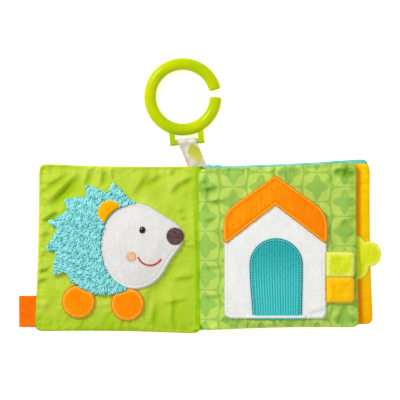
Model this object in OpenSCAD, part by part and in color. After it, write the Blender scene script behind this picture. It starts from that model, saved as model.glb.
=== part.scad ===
// Soft cloth baby book, lying open at its first spread, with a clip ring on a ribbon loop.
// Millimetres. +X runs over the right-hand pages, +Y to the head of the book, +Z up from the table.
// The origin is on the table, under the middle of the spine.

/* [Padded leaves] */
// Height of every leaf, from tail to head
leaf_h = 131; // [124:1:150]
// Width of the front cover, from the spine to its fore edge
front_cover_w = 130; // [126:1:150]
// Width of the first inner page, which carries the house
house_page_w = 124; // [122:1:134]
// Width of the second inner page
yellow_page_w = 135; // [134:1:150]
// Width of the back cover
back_cover_w = 131; // [128:1:150]
// How far the fore edge of the front cover lies towards the head
front_cover_rise = 1.5; // [0:0.5:5]
// The same for the first inner page
house_page_rise = 2.5; // [0:0.5:5]
// The same for the second inner page
yellow_page_rise = 3; // [0:0.5:6]
// The same for the back cover
back_cover_rise = 6.5; // [0:0.5:8]
// Padded thickness of the two covers
cover_t = 6; // [4:0.5:9]
// Padded thickness of the two inner pages
page_t = 5; // [3:0.5:8]
// Thickness of a leaf at its sewn edge
seam_t = 1.6; // [1:0.1:2.5]
// Width over which a leaf rolls down to its sewn edge
edge_roll = 9; // [6:0.5:12]
// Width over which the right-hand leaves fan out from the spine
fan_w = 10; // [7:0.5:14]
// Width over which the front cover rolls down into the gutter
gutter_roll = 7; // [5:0.5:12]
// Corner radius of a leaf
corner_r = 5; // [3:0.5:8]
// How far the sewn sides pull in between the corners
side_pull = 1.2; // [0:0.1:2]
// Depth of the gathers beside the seams
gather_h = 0.6; // [0:0.1:0.8]
// Clearance between leaves that lie on each other
leaf_gap = 0.3; // [0.2:0.05:0.6]

/* [Spine] */
// Width of the sewn spine strip
spine_w = 2.4; // [1.6:0.2:4]
// Thickness of the sewn spine strip
spine_t = 1.6; // [1:0.1:2.5]
// Gap between the spine strip and a leaf
spine_gap = 0.3; // [0.2:0.05:0.6]
// How far the spine strip reaches past the leaves at the head
spine_head = 0.8; // [0.4:0.1:2]

/* [Hedgehog] */
// Radius of the round terry body
body_r = 40; // [34:0.5:42]
// How far the spikes stand out from the body
spike_len = 8.5; // [5:0.5:10]
// Number of spikes along the back
spike_count = 6; // [4:1:9]
// Thickness of the terry body
body_t = 2.8; // [1.5:0.1:4]
// Mean radius of the face without its snout
face_r = 31; // [26:0.5:32]
// How far the snout stands out from the face
snout_len = 11; // [8:0.5:12]
// Thickness of the padded face
face_t = 3.4; // [2:0.1:5]
// Diameter of the nose
nose_d = 14; // [10:0.5:16]
// Diameter of the ear
ear_d = 22; // [16:0.5:24]
// Thickness of the ear
ear_t = 2; // [1:0.1:3]
// Diameter of a foot
foot_d = 26; // [20:0.5:28]
// Thickness of a foot
foot_t = 2; // [1:0.1:2.5]
// Height of the embroidery above its cloth
stitch_t = 0.7; // [0.3:0.1:1.2]

/* [House] */
// Width of the house
house_w = 81; // [70:1:84]
// Height of the house, from its foot to the ridge
house_h = 112; // [100:1:114]
// Height of the wall at the eaves
eaves_h = 60; // [54:1:66]
// Height of the roof band, measured straight down from the ridge
roof_band = 23; // [16:0.5:28]
// Radius of the roof's round shoulders
roof_shoulder_r = 22; // [14:0.5:26]
// Thickness of the white wall
wall_t = 1.8; // [1:0.1:3]
// Thickness of the roof
roof_t = 1.2; // [0.8:0.1:2.5]
// Width of the door at its arch
door_w = 42; // [34:0.5:48]
// How much narrower the door is at its foot
door_taper = 3.5; // [0:0.5:4]
// Height of the door
door_h = 62; // [50:1:66]
// Thickness of the door's cloth
door_t = 1.1; // [0.8:0.1:2]
// Spacing of the ribs of the door's cord cloth
rib_pitch = 1.8; // [1.4:0.1:3]
// Height of those ribs
rib_h = 0.4; // [0.2:0.05:0.8]

/* [Tabs and label] */
// Length of a plush tab that shows beside the house
tab_len = 21; // [14:0.5:21]
// Width of a plush tab
tab_w = 19.6; // [12:0.2:21]
// Thickness of a folded plush tab
tab_t = 4; // [2.5:0.1:5]
// Thickness of the lobed page marker
marker_t = 1.2; // [0.8:0.1:2]
// Radius of the marker's round lobes
marker_r = 10; // [7:0.5:12]
// Length of the side label that shows
label_len = 13.5; // [8:0.5:16]
// Width of the side label
label_w = 25; // [15:0.5:30]
// Thickness of the folded side label
label_t = 1; // [0.6:0.1:1.4]

/* [Clip ring] */
// Outside diameter of the ring
ring_d = 62; // [54:1:72]
// Thickness of the ring's round bar
ring_tube = 9.8; // [8:0.2:11]
// Opening between the ring's ends
ring_gap = 5.6; // [5:0.1:8]
// Rounding of the ring's ends
ring_end_r = 1.8; // [1:0.1:2.5]
// Turn of the ring as it lies
ring_turn = 5.5; // [0:0.5:10]
// Diameter of the bar that holds the ribbon
bar_d = 4; // [3:0.1:5]
// Clear height of the slot between the ring and the bar
slot_h = 3.1; // [2:0.1:6]
// Clear width of the slot between its legs
slot_w = 18.4; // [17.4:0.2:22]
// Width of a leg
leg_w = 4.5; // [3.5:0.1:6]

/* [Ribbon] */
// Width of the ribbon
ribbon_w = 15; // [10:0.5:15]
// Thickness of the ribbon
ribbon_t = 0.7; // [0.5:0.1:1]
// Distance from the bar to the spine along the ribbon's run
ribbon_run = 19.5; // [14:0.5:24]
// Sideways lean of the ribbon over its run
ribbon_lean = 6; // [0:0.5:6]
// Clearance of the ribbon round the bar
ribbon_clear = 0.3; // [0.2:0.05:0.5]

/* [Hidden] */
$fn = 64;

// Leaves: where each one starts and lies
leaf_x = spine_w / 2 + spine_gap;
back_z = 0;
yellow_z = back_z + cover_t + leaf_gap;
house_z = yellow_z + page_t + marker_t + leaf_gap;
page_top = house_z + page_t;
seam_pitch = seam_t + leaf_gap;
// Points along one side and one corner of a leaf's outline
side_points = 22;
corner_points = 4;
// Shares of the roll at which the top and the underside have a ring of points, the same on both
// so that leaves that lie on each other keep their clearance in the fan
roll_shares = [0, 0.06, 0.2, 0.45, 0.75, 1];
// A gather repeats every four points of the outline, and its height wanders along the seam
gather_step = 90;
gather_wander = 47;

// Hedgehog: places on the front cover
body_centre = [-leaf_x - front_cover_w / 2 - 9, 4];
face_centre = body_centre + [23, -2];
face_tall = 0.1;
snout_angle = 14;
snout_spread = 26;
nose_centre = face_centre + (face_r * (1 - face_tall) + snout_len - nose_d / 2 + 1) * [cos(snout_angle), sin(snout_angle)];
ear_centre = face_centre + [-19, 26];
eye_centre = face_centre + [6, 13];
eye_d = 5;
cheek_centre = face_centre + [-3, -8];
cheek_d = 8;
mouth_centre = face_centre + [12, -5];
mouth_r = 10;
mouth_w = 1.3;
foot_centres = [body_centre + [-22, -body_r - 6], body_centre + [17, -body_r - 7]];
applique_gap = 0.3;
// The spikes run along the back between these angles, and each tip leans back by a share of its width
spike_from = 62;
spike_to = 214;
spike_lean = 0.85;
outline_step = 4;

// House: places on its page
house_x = leaf_x + house_page_w / 2 - 5;
house_foot = -house_h / 2 + 2;
ridge = [house_x, house_foot + house_h];
wall_corner_r = 5;
wall_inset = 0.6;
wall_z = page_top + wall_t;
door_x = house_x + 0.5;
door_foot = house_foot + 0.8;
door_edge = 2.4;
door_foot_half = (door_w - door_taper) / 2;
tab_x = house_x + house_w / 2 + applique_gap;
tab_top = house_foot + eaves_h - 8;
tab_gap = 0.4;

// Page marker and label
marker_at = [leaf_x + house_page_w + 7, -4];
label_y = -50;

// Ring and ribbon: the bar's place follows from the ribbon's run past the spine's head
spine_top = leaf_h / 2 + spine_head;
ring_mean_r = (ring_d - ring_tube) / 2;
bar_drop = ring_d / 2 + slot_h + bar_d / 2;
ring_z = ring_tube / 2;
leg_x = slot_w / 2 + leg_w / 2;
ribbon_foot = [-3.2, spine_top];
ribbon_r = bar_d / 2 + ribbon_clear + ribbon_t / 2;
ribbon_turns = 16;

// Round roll from a sewn edge (share 0) to the flat of the leaf (share 1)
function roll(s) = sqrt(max(0, 1 - pow(1 - min(max(s, 0), 1), 2)));

// Points of an arc about c, from angle a0 to a1 in n steps
function arc(c, r, a0, a1, n) = [for (i = [0:n]) c + r * [cos(a0 + (a1 - a0) * i / n), sin(a0 + (a1 - a0) * i / n)]];

// Inner points of a straight side from a to b, pulled in by d along the direction v
function pulled_side(a, b, d, v) =
    [for (i = [1:side_points]) let (s = i / (side_points + 1)) a + (b - a) * s + v * d * sin(180 * s)];

// Outline of a leaf: the spine edge is at x = 0, and the other three sides pull in
function leaf_outline(w) = let (h = leaf_h / 2, r = corner_r) concat(
    pulled_side([r, -h], [w - r, -h], side_pull, [0, 1]), arc([w - r, -h + r], r, -90, 0, corner_points),
    pulled_side([w, -h + r], [w, h - r], side_pull, [-1, 0]), arc([w - r, h - r], r, 0, 90, corner_points),
    pulled_side([w - r, h], [r, h], side_pull, [0, -1]), arc([r, h - r], r, 90, 180, corner_points),
    pulled_side([0, h - r], [0, -h + r], 0, [1, 0]), arc([r, -h + r], r, 180, 270, corner_points));

// The same outline drawn in to the flat of the leaf, which starts spine_roll from the spine
function leaf_flat(p, w, spine_roll) =
    [spine_roll + p.x / w * (w - spine_roll - edge_roll), p.y * (1 - 2 * edge_roll / leaf_h)];

// One ring of points, a share of the way from the seam to the flat. up is 1 on top and -1 underneath.
// Gathers dip into the top beside the seams, away from the spine.
function leaf_ring(points, w, t, spine_roll, z, seam_z, rise, share, up, side) = [
    for (i = [0:len(points) - 1]) let (
        p = points[i] + (leaf_flat(points[i], w, spine_roll) - points[i]) * share,
        middle = seam_z + (z + t / 2 - seam_z) * roll(p.x / spine_roll),
        half = seam_t / 2 + (t - seam_t) / 2 * roll(share),
        swell = 4 * share * (1 - share) * min(max(p.x / spine_roll - 1, 0), 1),
        dip = gather_h * swell * (1 - cos(i * gather_step)) / 2 * (0.7 + 0.3 * sin(i * gather_wander)))
    [side * p.x, p.y + rise * p.x / w, middle + up * half - (up > 0 ? dip : 0)]];

// A padded leaf: a closed cushion with a sewn edge, rolled sides and gathers, flat where it rests.
// z is its underside, seam_z the height of its edge at the spine, rise how far its fore edge lies
// towards the head, and side is 1 right or -1 left.
module leaf(w, t, spine_roll, z, seam_z, rise, side) {
    outline = leaf_outline(w);
    n = len(outline);
    rings = len(roll_shares);
    points = [for (up = [1, -1], s = roll_shares) each leaf_ring(outline, w, t, spine_roll, z, seam_z, rise, s, up, side)];
    bands = concat([for (k = [0:rings - 2]) each [[k, k + 1], [rings + k + 1, rings + k]]], [[rings, 0]]);
    faces = concat(
        [for (b = bands, i = [0:n - 1]) let (j = (i + 1) % n)
            each [[b[0] * n + i, b[1] * n + i, b[1] * n + j], [b[0] * n + i, b[1] * n + j, b[0] * n + j]]],
        [[for (i = [n - 1:-1:0]) (rings - 1) * n + i], [for (i = [0:n - 1]) (2 * rings - 1) * n + i]]);
    translate([side * leaf_x, 0, 0])
        polyhedron(points, side > 0 ? faces : [for (f = faces) [for (i = [len(f) - 1:-1:0]) f[i]]]);
}

module front_cover() color("yellowgreen")
    leaf(front_cover_w, cover_t, gutter_roll, 0, seam_t / 2, front_cover_rise, -1);
module back_cover() color("mediumturquoise")
    leaf(back_cover_w, cover_t, fan_w, back_z, seam_t / 2, back_cover_rise, 1);
module yellow_page() color("gold")
    leaf(yellow_page_w, page_t, fan_w, yellow_z, seam_t / 2 + seam_pitch, yellow_page_rise, 1);
module house_page() color("darkseagreen")
    leaf(house_page_w, page_t, fan_w, house_z, seam_t / 2 + 2 * seam_pitch, house_page_rise, 1);

// Sewn strip between the covers. Its underside is the origin's resting face.
module spine_strip() color("olivedrab")
    translate([-spine_w / 2, -leaf_h / 2, 0]) cube([spine_w, leaf_h / 2 + spine_top, spine_t]);

// A flat piece of cloth of thickness t, lying at height z
module cloth(z, t) translate([0, 0, z]) linear_extrude(t) children();

// Round body with spikes: plain below, and along the back each spike climbs in a curve and drops steeply
function body_outline(grow) = let (r = body_r + grow, step = (spike_to - spike_from) / spike_count) concat(
    [for (k = [0:spike_count - 1], s = [0:0.25:1]) let (
        a = spike_from + step * (k + s * spike_lean),
        d = r + spike_len * pow(s, 1.4)) body_centre + d * [cos(a), sin(a)]],
    arc(body_centre, r, spike_to, spike_from + 360 - outline_step, round((360 - spike_to + spike_from) / outline_step)));

// Egg-shaped face, taller than wide, that swells into a snout
function face_outline(grow) = [for (a = [0:outline_step:360 - outline_step]) let (
    turn = (a - snout_angle + 540) % 360 - 180,
    r = face_r * (1 - face_tall * cos(2 * a)) + grow + snout_len * exp(-pow(turn / snout_spread, 2)))
    face_centre + r * [cos(a), sin(a)]];

module hedgehog_body() color("turquoise") cloth(cover_t, body_t) difference() {
    polygon(body_outline(0));
    polygon(face_outline(applique_gap));
}
module hedgehog_face() color("whitesmoke") cloth(cover_t, face_t) polygon(face_outline(0));
module hedgehog_ear() color("orange") cloth(cover_t + body_t, ear_t) difference() {
    translate(ear_centre) circle(d = ear_d);
    polygon(face_outline(applique_gap));
}
module hedgehog_nose() color("saddlebrown") cloth(cover_t + face_t, stitch_t) translate(nose_centre) circle(d = nose_d);
module hedgehog_eye() color("black") cloth(cover_t + face_t, stitch_t) translate(eye_centre) circle(d = eye_d);
module hedgehog_cheek() color("peachpuff") cloth(cover_t + face_t, stitch_t) translate(cheek_centre) circle(d = cheek_d);
module hedgehog_mouth() color("crimson") cloth(cover_t + face_t, stitch_t) polygon(concat(
    arc(mouth_centre, mouth_r + mouth_w / 2, 200, 330, 20), arc(mouth_centre, mouth_r - mouth_w / 2, 330, 200, 20)));

// A foot is a disc tucked under the edge of the body
module foot(centre) color("darkorange") cloth(cover_t, foot_t) difference() {
    translate(centre) circle(d = foot_d);
    polygon(body_outline(applique_gap));
    polygon(face_outline(applique_gap));
}
module left_foot() foot(foot_centres[0]);
module right_foot() foot(foot_centres[1]);

// Folded label sewn into the fore edge of the front cover
module side_label() color("orangered")
    translate([-leaf_x - front_cover_w - label_len, label_y - label_w / 2, (cover_t - label_t) / 2])
        cube([label_len - applique_gap, label_w, label_t]);

// House front: round lower corners, straight sides and a gable
module house_wall() color("white") cloth(page_top, wall_t) let (
    half = house_w / 2 - wall_inset, r = wall_corner_r, eaves = house_foot + eaves_h) polygon(concat(
        arc([house_x - half + r, house_foot + r], r, 180, 270, 6), arc([house_x + half - r, house_foot + r], r, 270, 360, 6),
        [[house_x + half, eaves]], [ridge - [0, roof_band - wall_inset]], [[house_x - half, eaves]]));

// Roof band: two slopes with round shoulders, lying on the wall's gable
function roof_edge(side) = let (half = house_w / 2, r = roof_shoulder_r, eaves = [house_x + side * half, house_foot + eaves_h],
    shoulder = [house_x + side * (half - r), eaves.y + 12]) concat([eaves], [for (i = [0:8]) let (a = i * 6)
    shoulder + r * [side * cos(a), sin(a)]]);
module house_roof() color("darkorange") cloth(wall_z, roof_t) polygon(concat(
    roof_edge(1), [ridge], [for (i = [9:-1:0]) roof_edge(-1)[i]], [ridge - [0, roof_band]]));

// Door: a round arch of cord cloth with a plain edge and upright ribs
function door_top(x, inset) = let (r = door_w / 2 - inset)
    door_foot + door_h - door_w / 2 + sqrt(max(0, r * r - x * x));
module house_door() color("darkturquoise") {
    cloth(wall_z, door_t) polygon(concat([[door_x - door_foot_half, door_foot], [door_x + door_foot_half, door_foot]],
        arc([door_x, door_foot + door_h - door_w / 2], door_w / 2, 0, 180, 30)));
    ribs = floor((door_foot_half - door_edge) / rib_pitch - 0.25);
    cloth(wall_z + door_t, rib_h) for (k = [-ribs:ribs]) let (
        reach = (abs(k) + 0.25) * rib_pitch, foot = door_foot + door_edge)
        translate([door_x + (k - 0.25) * rib_pitch, foot]) square([rib_pitch / 2, door_top(reach, door_edge) - foot]);
}

// A plush tab folded over on itself, with a round fold at its free end
module plush_tab(top) translate([tab_x, top, page_top]) rotate([90, 0, 0]) linear_extrude(tab_w) {
    square([tab_len - tab_t / 2, tab_t]);
    translate([tab_len - tab_t / 2, tab_t / 2]) circle(d = tab_t);
}
module lime_tab() color("yellowgreen") plush_tab(tab_top);
module yellow_tab() color("gold") plush_tab(tab_top - tab_w - tab_gap);

// Lobed marker that lies between the two inner pages and looks out at the fore edge
module page_marker() color("greenyellow") cloth(yellow_z + page_t, marker_t) {
    translate(marker_at) circle(r = marker_r);
    translate(marker_at + [-0.9 * marker_r, -1.1 * marker_r]) circle(r = 0.9 * marker_r);
    translate(marker_at + [-1.2 * marker_r, 0.5 * marker_r]) circle(r = marker_r);
}

// The bar's own frame: x along the bar, y towards the ring, z up
module at_bar() translate([ribbon_foot.x, ribbon_foot.y, ring_z]) rotate(ring_turn)
    translate([-ribbon_lean, ribbon_run, 0]) children();

// Ribbon loop: out over the bar, round it and back, with both ends sewn to the head of the spine
function ribbon_line(offset) = concat(
    [[-ribbon_run, spine_t / 2 - ring_z + ribbon_t / 2 + 0.05 + offset]],
    [for (i = [0:ribbon_turns]) let (a = 100 - 200 * i / ribbon_turns) (ribbon_r + offset) * [cos(a), sin(a)]],
    [[-ribbon_run, spine_t / 2 - ring_z - ribbon_t / 2 - 0.05 - offset]]);
module ribbon() color("ivory") at_bar() {
    profile = concat(ribbon_line(ribbon_t / 2), [for (i = [ribbon_turns + 2:-1:0]) ribbon_line(-ribbon_t / 2)[i]]);
    n = len(profile);
    shear = -ribbon_lean / ribbon_run;
    points = [for (x = [-ribbon_w / 2, ribbon_w / 2], p = profile) [x + shear * p.x, p.x, p.y]];
    polyhedron(points, concat(
        [[for (i = [0:n - 1]) i], [for (i = [n - 1:-1:0]) n + i]],
        [for (i = [0:n - 1]) let (j = (i + 1) % n) [j, i, n + i, n + j]]));
}

// Rounded end of the ring's bar, pointing along +Y from the origin, with a stub that reaches into the bar
module ring_end() rotate([-90, 0, 0]) rotate_extrude() {
    translate([0, -ring_end_r]) square([ring_tube / 2 - ring_end_r, 2 * ring_end_r]);
    translate([ring_tube / 2 - ring_end_r, 0]) intersection() {
        square(ring_end_r);
        circle(r = ring_end_r);
    }
}

// Open clip ring moulded in one piece with the two legs and the bar that hold the ribbon
module clip_ring() color("yellowgreen") at_bar() translate([0, bar_drop, 0]) {
    half_gap = asin(ring_gap / 2 / ring_mean_r) + ring_end_r / ring_mean_r * 180 / PI;
    rotate(half_gap) rotate_extrude(angle = 360 - 2 * half_gap) translate([ring_mean_r, 0]) circle(d = ring_tube);
    rotate(half_gap) translate([ring_mean_r, 0, 0]) mirror([0, 1, 0]) ring_end();
    rotate(-half_gap) translate([ring_mean_r, 0, 0]) ring_end();
    translate([0, -bar_drop, 0]) rotate([0, 90, 0]) cylinder(d = bar_d, h = slot_w + leg_w, center = true);
    for (side = [-1, 1]) translate([side * leg_x, -bar_drop, 0]) {
        rotate([0, 90, 0]) cylinder(d = leg_w, h = leg_w, center = true);
        translate([-leg_w / 2, 0, -leg_w / 2])
            cube([leg_w, bar_drop - sqrt(pow(ring_mean_r, 2) - pow(leg_x + leg_w / 2, 2)), leg_w]);
    }
}

front_cover();
house_page();
yellow_page();
back_cover();
spine_strip();
hedgehog_body();
hedgehog_face();
hedgehog_ear();
hedgehog_nose();
hedgehog_eye();
hedgehog_cheek();
hedgehog_mouth();
left_foot();
right_foot();
side_label();
house_wall();
house_roof();
house_door();
lime_tab();
yellow_tab();
page_marker();
ribbon();
clip_ring();
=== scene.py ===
"""Looks of a cloth baby book that lies open at its first spread, with a clip ring on a ribbon loop.

Shapes are worked out in millimetres as whole numpy arrays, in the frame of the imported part: +X over the
right-hand pages, +Y to the head of the book and +Z up from the table. Meshes are in metres.
"""

import math

import bpy
import numpy as np
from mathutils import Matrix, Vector


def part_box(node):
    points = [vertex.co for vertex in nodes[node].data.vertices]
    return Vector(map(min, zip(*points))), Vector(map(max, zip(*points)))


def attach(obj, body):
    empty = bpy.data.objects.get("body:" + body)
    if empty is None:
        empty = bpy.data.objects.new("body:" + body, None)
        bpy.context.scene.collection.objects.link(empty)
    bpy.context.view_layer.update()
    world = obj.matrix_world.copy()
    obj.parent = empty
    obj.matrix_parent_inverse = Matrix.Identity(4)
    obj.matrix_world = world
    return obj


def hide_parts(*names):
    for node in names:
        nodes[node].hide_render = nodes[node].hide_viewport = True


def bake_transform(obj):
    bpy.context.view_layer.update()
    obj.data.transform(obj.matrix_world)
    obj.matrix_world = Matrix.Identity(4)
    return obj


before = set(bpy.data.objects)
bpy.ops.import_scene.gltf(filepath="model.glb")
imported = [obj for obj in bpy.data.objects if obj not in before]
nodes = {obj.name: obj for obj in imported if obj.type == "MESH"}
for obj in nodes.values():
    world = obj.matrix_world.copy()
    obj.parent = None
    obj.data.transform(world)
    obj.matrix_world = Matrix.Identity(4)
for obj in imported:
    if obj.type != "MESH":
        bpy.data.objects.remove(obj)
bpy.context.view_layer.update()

MM = 0.001
TURN = 2 * math.pi
PHOTO_SIDE, PHOTO_MM_PER_PX, PHOTO_SPINE_PX = 400, 0.8, (201.0, 248.5)
FRONT, PAGES = "front_cover", "pages"


def box_mm(node):
    """Lowest and highest corner of a CAD node, in millimetres."""
    low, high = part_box(node)
    return np.array(low) / MM, np.array(high) / MM


# Curves and outlines


def unit(vectors):
    """Vectors along the last axis, brought to a length of one."""
    return vectors / (np.linalg.norm(vectors, axis=-1, keepdims=True) + 1e-9)


def plan_of(x, y):
    """Points in plan from their two coordinates."""
    return np.stack([x, y], -1)


def bell(x, middle, width):
    """Bell curve, 1 at the middle and 1/e at that width from it."""
    return np.exp(-(((x - middle) / width) ** 2))


def turned(along, across, angle, x, y):
    """x and y of points given along and across a direction from a place."""
    cos, sin = np.cos(angle), np.sin(angle)
    return x + along * cos - across * sin, y + along * sin + across * cos


def roll(share):
    """Quarter-round rise from 0 at a sewn edge to 1 where the cloth is flat."""
    return np.sqrt(np.maximum(0, 1 - (1 - np.clip(share, 0, 1)) ** 2))


def smooth_step(x, low, high):
    """0 below low, 1 above high, and a smooth ramp between them."""
    s = np.clip((x - low) / (high - low), 0, 1)
    return s * s * (3 - 2 * s)


def arc(centre, radius, start, end, count):
    """Points of an arc, in degrees."""
    a = np.radians(np.linspace(start, end, count))
    return np.asarray(centre) + radius * plan_of(np.cos(a), np.sin(a))


def along_path(path, at, closed=False):
    """Points of a polyline at the distances `at` from its start, and its length."""
    path = np.concatenate([path, path[:1]]) if closed else np.asarray(path)
    run = np.concatenate([[0], np.cumsum(np.linalg.norm(np.diff(path, axis=0), axis=1))])
    return np.stack([np.interp(at, run, path[:, k]) for k in range(path.shape[1])], -1), run[-1]


def path_length(path, closed=False):
    return along_path(path, np.zeros(1), closed)[1]


def even_path(path, step, closed=False):
    """A polyline drawn again with points about `step` apart."""
    length = path_length(path, closed)
    count = max(4, int(round(length / step)))
    return along_path(path, np.linspace(0, length, count, endpoint=not closed), closed)[0]


def inside(points, polygon):
    """True for each (x, y) point in a closed polygon, by counting the edges that a ray to +X crosses."""
    x, y = points[..., 0, None], points[..., 1, None]
    ax, ay = polygon[:, 0], polygon[:, 1]
    bx, by = np.roll(ax, -1), np.roll(ay, -1)
    crosses = (ay > y) != (by > y)
    reach = ax + (y - ay) / np.where(by == ay, 1e-9, by - ay) * (bx - ax)
    return (np.sum(crosses & (x < reach), -1) % 2) == 1


def edge_distance(points, polygon):
    """Distance of each (x, y) point from the nearest side of a closed polygon."""
    a, b = polygon, np.roll(polygon, -1, axis=0)
    d = b - a
    share = np.sum((points[..., None, :] - a) * d, -1) / (np.sum(d * d, -1) + 1e-9)
    foot = a + np.clip(share, 0, 1)[..., None] * d
    return np.min(np.linalg.norm(points[..., None, :] - foot, axis=-1), -1)


def signed_distance(points, polygon):
    """Distance from a closed polygon, below zero inside it."""
    return edge_distance(points, polygon) * np.where(inside(points, polygon), -1, 1)


def inset_path(outline, centre, distance):
    """An outline drawn in towards a centre by about that distance."""
    return outline + distance * unit(np.asarray(centre) - outline)


def on_top(path, height):
    """A plan path lifted to a height that depends on the plan."""
    return np.concatenate([path, height(path[:, 0], path[:, 1])[:, None]], -1)


def finer(values, rows, cols):
    """A grid of values drawn again on a finer grid by Catmull-Rom curves along each axis in turn."""
    for axis, count in ((0, rows), (1, cols)):
        n = values.shape[axis]
        at = np.linspace(0, n - 1, count)
        i = np.minimum(at.astype(int), n - 2)
        t = at - i
        weights = [(-t + 2 * t**2 - t**3) / 2, (2 - 5 * t**2 + 3 * t**3) / 2,
                   (t + 4 * t**2 - 3 * t**3) / 2, (-t**2 + t**3) / 2]
        shape = [1, 1]
        shape[axis] = count
        values = sum(w.reshape(shape) * np.take(values, np.clip(i + k - 1, 0, n - 1), axis)
                     for k, w in enumerate(weights))
    return values


# Meshes


def grid_quads(rows, cols, wrap_cols=False):
    """Quads between neighbouring rows and columns of a grid of points, closed round the columns where
    asked."""
    i = np.arange(rows - 1)[:, None]
    j = np.arange(cols if wrap_cols else cols - 1)[None, :]
    k, m = i + 1, (j + 1) % cols
    corners = np.broadcast_arrays(i * cols + j, i * cols + m, k * cols + m, k * cols + j)
    return np.stack(corners, -1).reshape(-1, 4)


def fan(rim, hub):
    """Triangles from a closed rim of point numbers to one hub point."""
    rim = np.asarray(rim)
    return np.stack([rim, np.roll(rim, -1), np.full(len(rim), hub)], -1)


def add_piece(name, points, faces, materials, face_slots=None, attributes=None, uv=None):
    """A mesh object from points in millimetres and a list of face arrays of three or more corners each."""
    points = np.asarray(points, float).reshape(-1, 3) * MM
    mesh = bpy.data.meshes.new(name)
    corners = np.concatenate([f.ravel() for f in faces]).astype(np.int32)
    sizes = np.concatenate([np.full(len(f), f.shape[1]) for f in faces])
    starts = np.concatenate([[0], np.cumsum(sizes)[:-1]]).astype(np.int32)
    mesh.vertices.add(len(points))
    mesh.vertices.foreach_set("co", points.ravel().astype(np.float32))
    mesh.loops.add(len(corners))
    mesh.loops.foreach_set("vertex_index", corners)
    mesh.polygons.add(len(sizes))
    mesh.polygons.foreach_set("loop_start", starts)
    mesh.polygons.foreach_set("use_smooth", np.ones(len(sizes), bool))
    for material in materials:
        mesh.materials.append(material)
    if face_slots is not None:
        mesh.polygons.foreach_set("material_index", np.asarray(face_slots, np.int32))
    for key, values in (attributes or {}).items():
        layer = mesh.attributes.new(key, "FLOAT", "POINT")
        layer.data.foreach_set("value", np.asarray(values, np.float32).ravel())
    if uv is not None:
        mesh.uv_layers.new(name="cloth").data.foreach_set(
            "uv", np.asarray(uv, np.float32).reshape(-1, 2)[corners].ravel())
    mesh.update(calc_edges=True)
    mesh.validate()
    obj = bpy.data.objects.new(name, mesh)
    bpy.context.scene.collection.objects.link(obj)
    return obj


def dress(obj, body, node=None):
    """Hangs a piece on a body and hides the CAD node that it stands for."""
    finish = obj.data.materials[0].name.split(".")[0]
    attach(obj, body)
    if node:
        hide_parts(node)
    return obj


def cloth_piece(name, shape, material, body, node=None, **data):
    """A piece in one finish, made from its points and faces and hung on a body."""
    return dress(add_piece(name, *shape, [material], **data), body, node)


def on_upper(values, points):
    """Values for a sheet's upper points, which come first, with zeros for all its others."""
    return np.concatenate([values.ravel(), np.zeros(len(points) - values.size)])


def outward(points, faces):
    """Faces of a closed shape, all turned over where the volume that they sum up to is below zero."""
    points = points - points.mean(0)
    volume = sum(np.sum(points[f[:, 0]] * (np.cross(points[f[:, 1]], points[f[:, 2]])
                                           + np.cross(points[f[:, 2]], points[f[:, -1]]))) for f in faces)
    return faces if volume > 0 else [f[:, ::-1] for f in faces]


def strip(upper, lower, groove=0.0):
    """A closed sheet from two grids of points, (rows, cols, 3) each, with a rim between them that may be
    grooved.

    Returns the points and the faces of the upper side, the lower side, the upper rim and the lower rim."""
    rows, cols, _ = upper.shape
    number = np.arange(rows * cols).reshape(rows, cols)
    rim = np.concatenate([number[:-1, 0], number[-1, :-1], number[:0:-1, -1], number[0, :0:-1]])
    tops, unders = upper.reshape(-1, 3), lower.reshape(-1, 3)
    middle = (tops[rim] + unders[rim]) / 2
    middle = middle + groove * unit((tops.mean(0) - middle) * [1, 1, 0])
    ring = 2 * rows * cols + np.arange(len(rim))
    quads = grid_quads(rows, cols)
    bands = [np.stack([a, np.roll(a, -1), np.roll(b, -1), b], -1)
             for a, b in ((rim, ring), (ring, rim + rows * cols))]
    points = np.concatenate([tops, unders, middle])
    return points, outward(points, [quads, quads[:, ::-1] + rows * cols, *bands])


def slab(x, y, top, under):
    """A closed sheet that lies flat: two grids of heights over one plan."""
    return strip(np.stack([x, y, top], -1), np.stack([x, y, under], -1))


def folded(run, thick, place):
    """A closed sheet of even thickness along a folded path: place(line) puts a path of (along, up) in
    space, and the two sides are the path moved half the thickness along its normal each way."""
    slope = np.gradient(run, axis=0)
    half = unit(plan_of(-slope[:, 1], slope[:, 0])) * thick / 2
    return strip(place(run + half), place(run - half))


def tubes(paths, radius, sides=6):
    """Round tubes along many paths at once. paths is (count, steps, 3) and radius is one number or (count,
    steps).

    At each step a circle is drawn across the path's own direction. Returns the points and the faces, ends
    closed."""
    paths = np.asarray(paths, float)
    count, steps, _ = paths.shape
    along = unit(np.gradient(paths, axis=1))
    up = np.where(np.abs(along[..., 2:3]) > 0.9, [1.0, 0, 0], [0, 0, 1.0])
    across = unit(np.cross(along, up))
    lift = np.cross(across, along)
    turn = np.arange(sides) / sides * TURN
    radius = np.broadcast_to(np.asarray(radius, float), (count, steps))[..., None, None]
    ring = np.cos(turn)[:, None] * across[..., None, :] + np.sin(turn)[:, None] * lift[..., None, :]
    points = paths[..., None, :] + radius * ring
    first = (np.arange(count) * steps * sides)[:, None]
    quads = (grid_quads(steps, sides, wrap_cols=True)[:, ::-1] + first[..., None]).reshape(-1, 4)
    ends = [first + np.arange(sides), first + (steps - 1) * sides + np.arange(sides)[::-1]]
    return points.reshape(-1, 3), [quads, *ends]


# Materials

ONE_WAVE = 0.314  # scale at which the wave texture repeats once per unit of length


def rgba(colour):
    return colour if isinstance(colour, bpy.types.NodeSocket) else (*colour, 1)


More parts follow.
